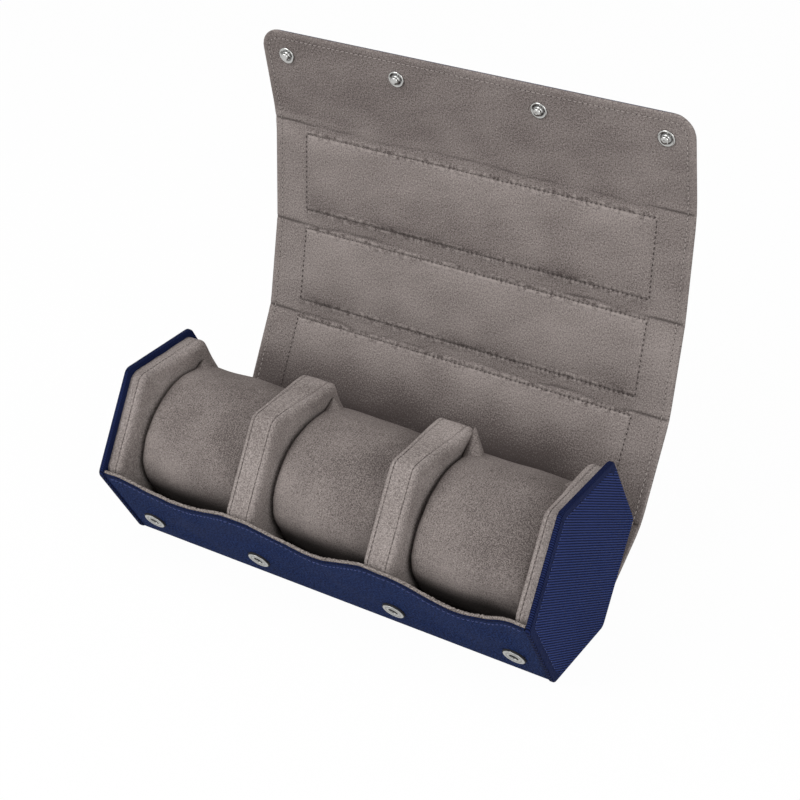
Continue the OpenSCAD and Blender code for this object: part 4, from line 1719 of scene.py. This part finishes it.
@dataclass
class EndPad(PaddedBlock):
    """The pad inside an end panel, sewn with a seam beside its inner face."""

    lid_room: float = 2.4
    lean: float = 0.15
    flares: tuple[tuple[float, float], ...] = ((0, 2.4), (1.4, 0))

    def make(self, side: Side) -> None:
        """Makes the pad at one end.

        Args:
            side: The end.
        """
        size = self.sizes
        steps = self.face_steps()
        band = np.array([[size.end_pad_t * share, self.band_draw] for share in (0.6, 0.75, 0.9)])
        back = np.array([[size.end_pad_t, draw] for draw in (0.3, 4, 14, 26)])
        stations = np.concatenate([steps, band, back])
        stations[:, 0] = side.value * (size.pad_in + stations[:, 0])
        insets = self.insets(self.lid_room)
        flare = self.flares[side is Side.RIGHT]
        piece = self.block(f"end_cushioning_{side.word}", stations, insets, self.lean, flare)
        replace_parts(piece, f"end_pad_{side.word}")
        row = self.seam_row(side.value * (size.pad_in + self.seam_in), insets)
        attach(put_stitches(f"end_pad_thread_{side.word}", [row], self.finishes.dark_thread), "tray")


@dataclass
class EndPanel:
    """A stiff end panel in ribbed navy cloth, with a turned-in margin and a row of stitches along its front."""

    sizes: CaseSizes
    finishes: Finishes
    corner: float = 3.5
    edge: float = 0.7
    margin: float = 3.6
    thread: Stitch = Stitch(3.0, 1.0, 0.2)

    def outline(self, draw: Array) -> Array:
        """Outlines of the panel as y, z, one for each draw-in."""
        return self.sizes.hexagon.ring(np.zeros(6), self.corner, draw, 26, 8)

    def make(self, side: Side) -> None:
        """Makes the panel at one end.

        Its rings run from the inner face's middle out to the rim, round the rim's two quarter circles and in
        to the outer face's middle. The outer face steps down by a bell at the margin's inner edge.

        Args:
            side: The end.
        """
        size = self.sizes
        turn = np.radians(np.linspace(0, 90, 5))
        inner = np.array([[0.0, d] for d in (30, 12, 3.4, 1.6)])
        near = np.stack([self.edge * (1 - np.cos(turn)), self.edge * (1 - np.sin(turn))], -1)
        far = np.stack([size.end_t - near[::-1, 0], near[::-1, 1]], -1)
        draws = np.array([1.2, 2.2, 2.9, 3.2, 3.45, 3.6, 3.75, 4.0, 4.4, 5.2, 7, 10, 14, 19, 25, 30])
        outer = np.stack([size.end_t - 0.14 * bell(draws - self.margin, 0.35), draws], -1)
        stations = np.concatenate([inner, near, far, outer])
        draw = stations[:, 1]
        rings = self.outline(draw)
        x = side.value * (size.end_in + stations[:, 0])
        x = np.broadcast_to(x[:, None, None], (*rings.shape[:2], 1))
        points, faces = capped(np.concatenate([x, rings], -1))
        from_edge = np.concatenate([np.repeat(draw, rings.shape[1]), [30, 30]])
        around = size.hexagon.bearing(points[:, 1], points[:, 2])
        front = (around > 58) & (around < 246)
        marks = {
            "margin": (1 - soft_step(from_edge, 3.4, 3.8)) * front,
            # painted shade in the margin's step and along the rim's edge
            "painted_shade": 0.45 * bell(from_edge - self.margin, 0.3) * front + 0.4 * (from_edge < 0.65),
        }
        piece = put_mesh(f"end_cloth_{side.word}", points, faces, self.finishes.ribbed, marks, points[:, 1:])
        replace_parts(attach(piece, "tray"), f"end_cover_{side.word}")
        self.make_thread(side)

    def make_thread(self, side: Side) -> None:
        """Makes the row of stitches along the margin, from the top round the front.

        Args:
            side: The end.
        """
        size = self.sizes
        ring = self.outline(np.array([self.margin]))[0]
        angle = size.hexagon.bearing(ring[:, 0], ring[:, 1])
        front = np.roll(ring, -int(np.argmin(np.abs(angle - 90))), 0)
        angle = size.hexagon.bearing(front[:, 0], front[:, 1])
        path = front[(angle > 92) & (angle < 238)]
        path = np.concatenate([np.full((len(path), 1), side.value * size.length / 2), path], 1)
        out = np.broadcast_to([float(side.value), 0, 0], path.shape)
        stitches = self.thread.row(path, out)
        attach(put_stitches(f"end_thread_{side.word}", [stitches], self.finishes.navy_thread), "tray")


# ---- cushions ----


@dataclass
class Cushion:
    """A watch cushion: a sewn suede sleeve over foam, oval, with rolled ends and two gathered corners behind."""

    sizes: CaseSizes
    finishes: Finishes
    bay: int
    name: str
    ears: tuple[float, float]
    depth: float = 74.0
    height: float = 70.0
    back: float = 4.0
    gap: float = 0.4
    base_room: float = 0.3
    lid_room: float = 3.3
    front_room: float = 6.2
    roll: float = 3.4
    crown: float = 1.0
    ear_in: float = 5.6
    ear_angle: float = 68.0
    ear_foot: float = 3.2
    blend: float = 16.0
    voxel: float = 1.5
    slack: float = 0.8
    pressure: float = 4.0
    frames: int = 20
    cap: float = 1.5

    @property
    def middle(self) -> Array:
        """The cushion's middle as y, z."""
        return np.array([self.back, self.sizes.floor_z + self.base_room + self.height / 2])

    @property
    def half(self) -> float:
        """Half the cushion's length."""
        low, high = self.sizes.bays[self.bay]
        return (high - low) / 2 - self.gap

    @property
    def centre_x(self) -> float:
        """Middle of the cushion's bay."""
        return sum(self.sizes.bays[self.bay]) / 2

    def reach(self, angle: Array, x: Array) -> Array:
        """Reach from the middle in a direction: an oval that its neighbours flatten.

        The plain reach and the reciprocal reach of each flat neighbour are joined by a power sum, which turns
        smoothly from one to the other.

        Args:
            angle: Directions in degrees, from +Y towards +Z.
            x: Distance along the cushion from its middle.

        Returns:
            Reaches in millimetres.
        """
        c, s = np.cos(np.radians(angle)), np.sin(np.radians(angle))
        plain = 0.5 / np.hypot(c / self.depth, s / self.height) - self.crown * (x / self.half) ** 2
        size, hexagon = self.sizes, self.sizes.hexagon
        insets = np.array([size.floor_z + self.base_room, *[self.lid_room] * 4, size.lip_in + self.front_room])
        way = hexagon.ways
        off = self.middle - np.array([0, hexagon.height / 2])
        room = hexagon.reach - insets - (np.cos(way) * off[0] + np.sin(way) * off[1])
        limit = np.maximum(np.cos(np.radians(angle)[..., None] - way), 0) / room
        total = plain**-self.blend + (limit**self.blend).sum(-1)
        return total ** (-1 / self.blend)

    def drawn_in(self, x: Array) -> Array:
        """How far the rolled end draws in at a distance x from the middle: a quarter circle over the last roll."""
        into = np.clip(np.abs(x) - (self.half - self.roll), 0, self.roll)
        return self.roll - np.sqrt(self.roll**2 - into**2)

    def body(self) -> tuple[Array, Faces]:
        """The cushion's closed form before its cloth swells, as points round its own middle and faces.

        Returns:
            Points and faces.
        """
        turn = np.radians(np.linspace(0, 90, 11))
        ends = np.stack([self.roll * (1 - np.sin(turn)), self.roll * (1 - np.cos(turn))], -1)
        inner = np.array([[d, 0.0] for d in np.linspace(self.half, self.roll * 1.15, 14)])
        face = np.array([[0.0, self.roll + d] for d in (3, 8, 14, 20, 25)])
        steps = np.concatenate([inner, ends, face])
        left = np.stack([steps[::-1, 0] - self.half, steps[::-1, 1]], -1)
        right = np.stack([self.half - steps[1:, 0], steps[1:, 1]], -1)
        stations = np.concatenate([left, right])
        angle = np.linspace(0, 360, 160, endpoint=False)
        x = np.broadcast_to(stations[:, :1], (len(stations), len(angle)))
        grid = np.broadcast_to(angle[None], x.shape)
        reach = self.reach(grid, x) - stations[:, 1:] - self.slack
        y = reach * np.cos(np.radians(grid))
        z = reach * np.sin(np.radians(grid))
        return capped(np.stack([x * (1 - self.slack / self.half), y, z], -1))

    def swollen(self, piece: Piece) -> None:
        """Remeshes the sleeve evenly and lets the foam's pressure fill it, as a short cloth simulation.

        No point ends further than cap from where it started.

        Args:
            piece: The cushion's piece, whose mesh is replaced by the swollen one.
        """
        scene = bpy.context.scene
        even = piece.modifiers.new("even", "REMESH")
        even.mode, even.voxel_size, even.use_smooth_shade = "VOXEL", self.voxel * MM, True
        graph = bpy.context.evaluated_depsgraph_get()
        mesh = bpy.data.meshes.new_from_object(piece.evaluated_get(graph))
        piece.modifiers.clear()
        piece.data = mesh
        start = points_of(mesh)
        cloth = piece.modifiers.new("swell", "CLOTH")
        cloth.settings.use_pressure = True
        cloth.settings.uniform_pressure_force = self.pressure
        cloth.settings.quality = 5
        cloth.settings.effector_weights.gravity = 0
        cloth.point_cache.frame_start, cloth.point_cache.frame_end = 1, self.frames
        for frame in range(1, self.frames + 1):
            scene.frame_set(frame)
        graph = bpy.context.evaluated_depsgraph_get()
        settled = points_of(piece.evaluated_get(graph).data)
        piece.modifiers.clear()
        scene.frame_set(1)
        move = settled - start
        far = np.linalg.norm(move, axis=1)
        LOG.info("%s: cloth moved %.2f mm in the middle, %.2f mm at most", piece.name, np.median(far), far.max())
        settled = start + move * np.minimum(1, self.cap / np.maximum(far, 1e-9))[:, None]
        mesh.vertices.foreach_set("co", (settled * MM).astype(np.float32).ravel())

    def shaped(self, points: Array) -> Array:
        """Holds the swollen sleeve in the cushion's room, and gives it its soft hollows, ribs and end creases.

        Along each radius a point moves in by ripples. Near the ends, creases that run along the case deepen
        where the sleeve is gathered.

        Args:
            points: Points round the cushion's middle.

        Returns:
            The moved points.
        """
        x, y, z = points.T
        x = np.clip(x, -self.half, self.half)
        angle = np.degrees(np.arctan2(z, y)) % 360
        radius = np.hypot(y, z)
        room = self.reach(angle, x) - self.drawn_in(x)
        girth = np.radians(angle) * 35
        hand = Ripple(40 + self.bay, 32).at(x, girth)
        gathers = Ripple(50 + self.bay, 9).at(x * 0.25, girth)
        near_end = bell(self.half - 5 - np.abs(x), 6)
        soft = 0.3 * (1 + hand) + 0.16 * (1 + gathers) * near_end
        side = soft_step(radius, 12, 26)
        held = np.minimum(radius + 0.25, room) - soft * side
        scale = held / np.maximum(radius, 1e-6)
        scale = np.where(radius < 10, 1, scale)
        return np.stack([x, y * scale, z * scale], -1)

    def ear(self, side: Side, height: float) -> tuple[Array, Faces]:
        """A gathered corner of the sleeve: a folded peak of cloth that stands at the upper back.

        Rings go up from inside the cushion to the tip. Each is an oval, wide round the cushion and thin along
        it, that narrows evenly and leans towards the neighbour.

        Args:
            side: The end at which it stands.
            height: Height of its tip above the cushion.

        Returns:
            Points round the cushion's middle and faces.
        """
        t = np.linspace(0, 1, 9)
        turn = np.linspace(0, 2 * math.pi, 20, endpoint=False)
        wide = 5.4 * (1 - t) + 0.6
        thin = 4.2 * (1 - t) + 0.4
        at_x = side.value * (self.half - self.ear_in + 3.2 * t)
        foot = float(self.reach(np.array([self.ear_angle]), at_x[:1])[0]) - self.ear_foot
        radial = np.array([math.cos(math.radians(self.ear_angle)), math.sin(math.radians(self.ear_angle))])
        tangent = np.array([radial[1], -radial[0]])
        ridge = 1 + 0.22 * np.cos(3 * turn)[None, :]
        along = wide[:, None] * np.cos(turn)[None, :]
        x = at_x[:, None] + thin[:, None] * np.sin(turn)[None, :] * ridge
        up = foot + t[:, None] * (height + self.ear_foot) + 0 * along
        flat = up[..., None] * radial + along[..., None] * tangent
        rings = np.concatenate([x[..., None], flat], -1)
        return capped(rings, rings[-1].mean(0) + np.array([0, *radial]) * 0.3)

    def marks(self, points: Array) -> Marks:
        """The sleeve's tones: random patches, painted light and painted shade.

        Painted light makes it paler at mid height; painted shade darkens it towards the top, towards the right end,
        on the upper front of its right half and at its front foot.

        Args:
            points: Points round the cushion's middle.

        Returns:
            The mark of nap with painted light, and the mark of painted shade.
        """
        angle = np.degrees(np.arctan2(points[:, 2], points[:, 1])) % 360
        nap = 0.07 * Ripple(80 + self.bay, 24).at(points[:, 0], np.radians(angle) * 30)
        share = points[:, 0] / self.half
        # painted shade on the upper front of the right half; painted light at mid height, and painted shade towards
        # the top and the right
        nap -= 0.1 * bell(share - 0.45, 0.35) * bell((angle - 150) / 60, 1.0)
        nap += 0.16 * bell(points[:, 2] - 2, 13) - 0.03 * soft_step(points[:, 2], 8, 30) - 0.09 * share
        # painted shade at the front foot, below the lip
        under = soft_step(-points[:, 2], 0.5, 10) * (points[:, 1] < 0)
        return {"nap": nap, "painted_shade": 1.1 * under}

    def make(self) -> None:
        """Makes the cushion and its gathered corners."""
        place = np.array([self.centre_x, *self.middle])
        points, faces = self.body()
        piece = put_mesh(f"{self.name}_sleeve", points, faces, self.finishes.sleeve)
        self.swollen(piece)
        mesh = piece.data
        points = self.shaped(points_of(mesh))
        mesh.vertices.foreach_set("co", ((points + place) * MM).astype(np.float32).ravel())
        carry(mesh, self.marks(points))
        smooth(mesh)
        mesh.materials.clear()
        mesh.materials.append(self.finishes.sleeve)
        mesh.update()
        finer = piece.modifiers.new("finer", "SUBSURF")
        finer.levels = finer.render_levels = 1
        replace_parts(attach(piece, self.name), self.name)
        for side, height in zip(Side, self.ears):
            points, faces = self.ear(side, height)
            ear = put_mesh(f"{self.name}_corner_{side.word}", points + place, faces, self.finishes.sleeve)
            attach(ear, self.name)


# ---- press studs ----


def lathe(
    name: str,
    profile: Array,
    centres: Array,
    turn: Array,
    finish: Material,
    groove_shade: Array | None = None,
) -> Piece:
    """Turns a profile round an axis, once at each centre.

    A point of the profile at radius r and height h goes to (r cos a, r sin a, h) for evenly spaced angles a, is
    turned into the case's frame and moved to the centre.

    Args:
        name: Name of the piece.
        profile: Radius and height of each point; closed round the axis by its ends.
        centres: Places of the axis foot, one line each.
        turn: Three by three matrix from the stud's own frame to the case's.
        finish: The metal's finish.
        groove_shade: How much painted shade each point of the profile takes, from 0 to 1.

    Returns:
        The new object.
    """
    rows, cols = len(profile), LATHE_STEPS
    angle = np.linspace(0, 2 * math.pi, cols, endpoint=False)
    r, h = profile[:, :1], profile[:, 1:]
    ring = np.stack([r * np.cos(angle), r * np.sin(angle), np.broadcast_to(h, (rows, cols))], -1)
    points = centres[:, None, None, :] + ring @ turn.T
    single = grid_faces(rows, cols, True)
    if r[0, 0] > 1e-6:
        last = (rows - 1) * cols
        k = np.arange(cols)
        single = np.concatenate([single, np.stack([last + k, last + (k + 1) % cols, (k + 1) % cols, k], -1)])
    faces = (single[None] + (np.arange(len(centres)) * rows * cols)[:, None, None]).reshape(-1, 4)
    dark = np.zeros(rows) if groove_shade is None else groove_shade
    # painted shade in the metal's grooves
    marks = {"painted_shade": np.tile(np.repeat(dark, cols), len(centres))}
    return put_mesh(name, points.reshape(-1, 3), faces.tolist(), finish, marks)


def rounded(*points: tuple[float, float]) -> Array:
    """A profile that rounds off each corner between points.

    The curve runs from the middle of one side to the middle of the next as a quadratic with the corner as its
    control point.

    Args:
        points: Radius and height of each corner.

    Returns:
        Radius and height of each point of the profile, with both ends kept.
    """
    line = np.array(points, float)
    mids = (line[1:] + line[:-1]) / 2
    share = np.linspace(0, 1, 5)[:, None]
    corners = [
        (1 - share) ** 2 * start + 2 * share * (1 - share) * corner + share**2 * end
        for start, corner, end in zip(mids[:-1], line[1:], mids[1:])
    ]
    return np.concatenate([line[:1], *corners, line[-1:]])


@dataclass
class PressStuds:
    """The four press studs: sockets on the lip, studs on the flap and caps on its outer side."""

    sizes: CaseSizes
    finishes: Finishes
    lid: Lid
    stud_y: float = 34.68

    def on_lip(self) -> tuple[Array, Array]:
        """Feet of the sockets and the turn of the lip's frame.

        Returns:
            Feet, and a three by three matrix.
        """
        size = self.sizes
        local = np.array([[x, size.stud_up, -size.lip_recess] for x in size.stud_x])
        axes = size.on_lip(np.eye(3)) - size.on_lip(np.zeros((3, 3)))
        return size.on_lip(local), axes.T

    def on_flap(self, depth: float) -> tuple[Array, Array]:
        """Feet of the studs at a depth on the flap and the turn of its frame.

        Args:
            depth: Height above the cloth's middle.

        Returns:
            Feet, and a three by three matrix.
        """
        x = np.array(self.sizes.stud_x)
        s = np.full_like(x, self.lid.starts[-2] + self.stud_y)
        tilt = math.radians(self.lid.tilts[-1])
        turn = np.array([[1, 0, 0], [0, math.cos(tilt), -math.sin(tilt)], [0, math.sin(tilt), math.cos(tilt)]])
        return self.lid.place(x, s, np.full_like(x, depth)), turn

    def make(self) -> None:
        """Makes the sockets with their dark walls and pits of painted shade, the studs and the caps."""
        self.make_sockets()
        self.make_studs()

    def make_sockets(self) -> None:
        """Makes the sockets' plates, with walls round them and pits for the studs in dark painted shade."""
        feet, turn = self.on_lip()
        plate = rounded(
            (2.1, -1.9), (2.9, -1.9), (2.9, 0.5), (4.7, 0.5), (5.0, 0.78), (4.85, 1.02), (4.3, 1.1), (3.6, 0.86),
            (3.2, 0.9), (2.85, 1.05), (2.5, 1.12), (2.2, 0.85), (2.05, 0.1), (2.1, 0.0),
        )
        wall = rounded((4.0, -0.3), (5.3, -0.3), (5.4, 0.1), (5.35, 0.75), (4.95, 0.84), (4.0, 0.6))
        pit = np.array([[0.0, -1.6], [2.3, -1.6], [2.3, 0.1], [0.0, 0.12]])
        # painted shade at the hole's rim and in a ring between the rim and the hub
        groove_shade = 0.7 * bell(plate[:, 0] - 2.05, 0.3) * (plate[:, 1] < 0.9) + 0.5 * bell(plate[:, 0] - 3.5, 0.3)
        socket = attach(lathe("socket_plates", plate, feet, turn, self.finishes.satin, groove_shade), "tray")
        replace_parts(socket, "snap_sockets")
        for name, profile in (("socket_walls_painted_shade", wall), ("socket_pits_painted_shade", pit)):
            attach(lathe(name, profile, feet, turn, self.finishes.socket_shade), "tray")

    def make_studs(self) -> None:
        """Makes the studs on the flap's suede and the caps on its cloth."""
        feet, turn = self.on_flap(self.sizes.skin + self.sizes.lining_t)
        stud = rounded(
            (0, -0.2), (3.8, -0.2), (3.95, 0.15), (3.65, 0.44), (3.2, 0.42), (2.8, 0.15), (2.2, 0.1), (1.45, 0.6),
            (1.65, 1.2), (1.85, 1.6), (1.65, 2.05), (1.0, 2.25), (0, 2.2),
        )
        # painted shade in the groove between the ring and the nub
        groove_shade = 0.8 * bell(stud[:, 0] - 2.35, 0.45) * (stud[:, 1] < 0.5) * (stud[:, 1] > -0.1)
        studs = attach(lathe("flap_studs", stud, feet, turn, self.finishes.nickel, groove_shade), "flap")
        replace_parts(studs, "snap_studs")
        feet, turn = self.on_flap(-self.sizes.skin)
        cap = rounded((0, -0.5), (3.0, -0.5), (4.9, -0.38), (5.5, -0.1), (5.4, 0.1), (1.2, 0.1), (1.2, 2.0), (0, 2.0))
        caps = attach(lathe("flap_caps", cap, feet, turn, self.finishes.satin), "flap")
        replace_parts(caps, "snap_caps")


# ---- studio ----


@dataclass
class Studio:
    """The floor, the soft lights and the camera."""

    azimuth: float = 32.20
    elevation: float = 30.51
    roll: float = -0.243
    distance: float = 802.2
    lens: float = 81.04
    aside: float = 16.97
    above: float = 77.59
    floor_reach: float = 6.0
    world_light: float = 0.42

    def camera(self) -> None:
        """Sets the camera at the photograph's viewing angle."""
        a, e, r = (math.radians(v) for v in (self.azimuth, self.elevation, self.roll))
        back = Vector((math.sin(a) * math.cos(e), -math.cos(a) * math.cos(e), math.sin(e)))
        right = Vector((0, 0, 1)).cross(back).normalized()
        up = back.cross(right)
        right, up = right * math.cos(r) + up * math.sin(r), up * math.cos(r) - right * math.sin(r)
        data = bpy.data.cameras.new("view")
        data.lens, data.sensor_width, data.sensor_fit = self.lens, 36.0, "AUTO"
        data.clip_start, data.clip_end = 0.02, 20
        camera = bpy.data.objects.new("view", data)
        turn = Matrix((right, up, back)).transposed().to_4x4()
        place = (back * self.distance + right * self.aside + up * self.above) * MM
        camera.matrix_world = Matrix.Translation(place) @ turn
        bpy.context.scene.collection.objects.link(camera)
        bpy.context.scene.camera = camera

    def lamp(self, name: str, place: Sequence[float], aim: Sequence[float], size: float, power: float) -> None:
        """Adds one soft square lamp.

        Args:
            name: Name of the lamp.
            place: Its place in metres.
            aim: Where it points.
            size: Its side in metres.
            power: Its power in watts.
        """
        data = bpy.data.lights.new(name, "AREA")
        data.size, data.energy = size, power
        lamp = bpy.data.objects.new(name, data)
        lamp.location = place
        lamp.rotation_mode = "QUATERNION"
        lamp.rotation_quaternion = (Vector(place) - Vector(aim)).to_track_quat("Z", "Y")
        bpy.context.scene.collection.objects.link(lamp)

    def shown(self, bench: Bench) -> Signal:
        """1 for what the camera sees, straight or in metal and glass.

        Args:
            bench: The material's bench.

        Returns:
            The share.
        """
        path = bench.node("ShaderNodeLightPath")
        rays = ("Is Camera Ray", "Is Glossy Ray", "Is Transmission Ray")
        camera, glossy, through = (Signal(bench, path.outputs[ray]) for ray in rays)
        return bench.math("MAXIMUM", bench.math("MAXIMUM", camera, glossy), through)

    def floor(self) -> None:
        """Lays a plain pale floor that keeps the object's shadow."""
        reach = self.floor_reach
        corners = [(-reach, -reach, 0), (reach, -reach, 0), (reach, reach, 0), (-reach, reach, 0)]
        mesh = bpy.data.meshes.new("floor")
        mesh.from_pydata(corners, [], [(0, 1, 2, 3)])
        bench = Bench("floor_pale")
        plain = bench.signal("ShaderNodeBsdfDiffuse", None, {0: (0.86, 0.86, 0.86, 1)})
        white = bench.signal("ShaderNodeEmission", None, {0: (1, 1, 1, 1), 1: 1.0})
        bench.close(bench.node("ShaderNodeMixShader", None, {0: self.shown(bench) * 0.97, 1: plain, 2: white}))
        mesh.materials.append(bench.owner)
        floor = bpy.data.objects.new("floor", mesh)
        bpy.context.scene.collection.objects.link(floor)

    def world(self) -> None:
        """Sets an even pale surrounding that is dimmer as light than as what the camera, metal and glass show."""
        bench = Bench("studio", bpy.data.worlds)
        level = self.shown(bench) * (1 - self.world_light) + self.world_light
        back = bench.node("ShaderNodeBackground", None, {0: (1, 1, 1, 1), 1: level})
        bench.close(back, "ShaderNodeOutputWorld")
        bpy.context.scene.world = bench.owner

    def make(self) -> None:
        """Sets the whole studio."""
        self.camera()
        self.floor()
        self.world()
        self.lamp("key", (-0.6, -0.95, 0.95), (0, 0, 0.08), 0.8, 11.5)
        self.lamp("fill", (1.2, -0.5, 0.75), (0, 0, 0.08), 0.9, 9)
        self.lamp("top", (-0.1, 0.0, 1.4), (0, 0, 0.05), 0.7, 3)
        bpy.context.scene.view_settings.view_transform = "Standard"


def dress_boards(frame: dict, finishes: Finishes) -> None:
    """Gives the solids that stay their finish: the boards and the clinched rings.

    Args:
        finishes: The finishes.
    """
    for name, node in frame["nodes"].items():
        if "board" in name or name == "snap_clinch_rings":
            finish = finishes.board if "board" in name else finishes.satin
            node.data.materials.clear()
            node.data.materials.append(finish)
            LOG.info("%s keeps its solid, in %s", name, finish.name)


def main() -> None:
    """Builds every piece in order."""
    logging.basicConfig(level=logging.INFO, format="%(message)s")
    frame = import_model()
    folds = np.array([j["pos_m"][1:] for j in frame["joints"] if j["type"] == "hinge"]) / MM
    sizes, finishes = CaseSizes(), Finishes()
    dress_boards(frame, finishes)
    lid = Lid(sizes, finishes, folds)
    lid.make()
    Tray(sizes, finishes).make()
    for side in Side:
        EndPanel(sizes, finishes).make(side)
        EndPad(sizes, finishes, seed=60 + side.value).make(side)
        Divider(sizes, finishes, seed=70 + side.value).make(side)
    ears = {"cushion_left": (1.5, 2.0), "cushion_middle": (3.2, 2.0), "cushion_right": (9.5, 2.5)}
    for bay, (name, heights) in enumerate(ears.items()):
        Cushion(sizes, finishes, bay, name, heights).make()
    PressStuds(sizes, finishes, lid).make()
    Studio().make()
    bpy.context.view_layer.update()


if __name__ == "__main__":
    main()
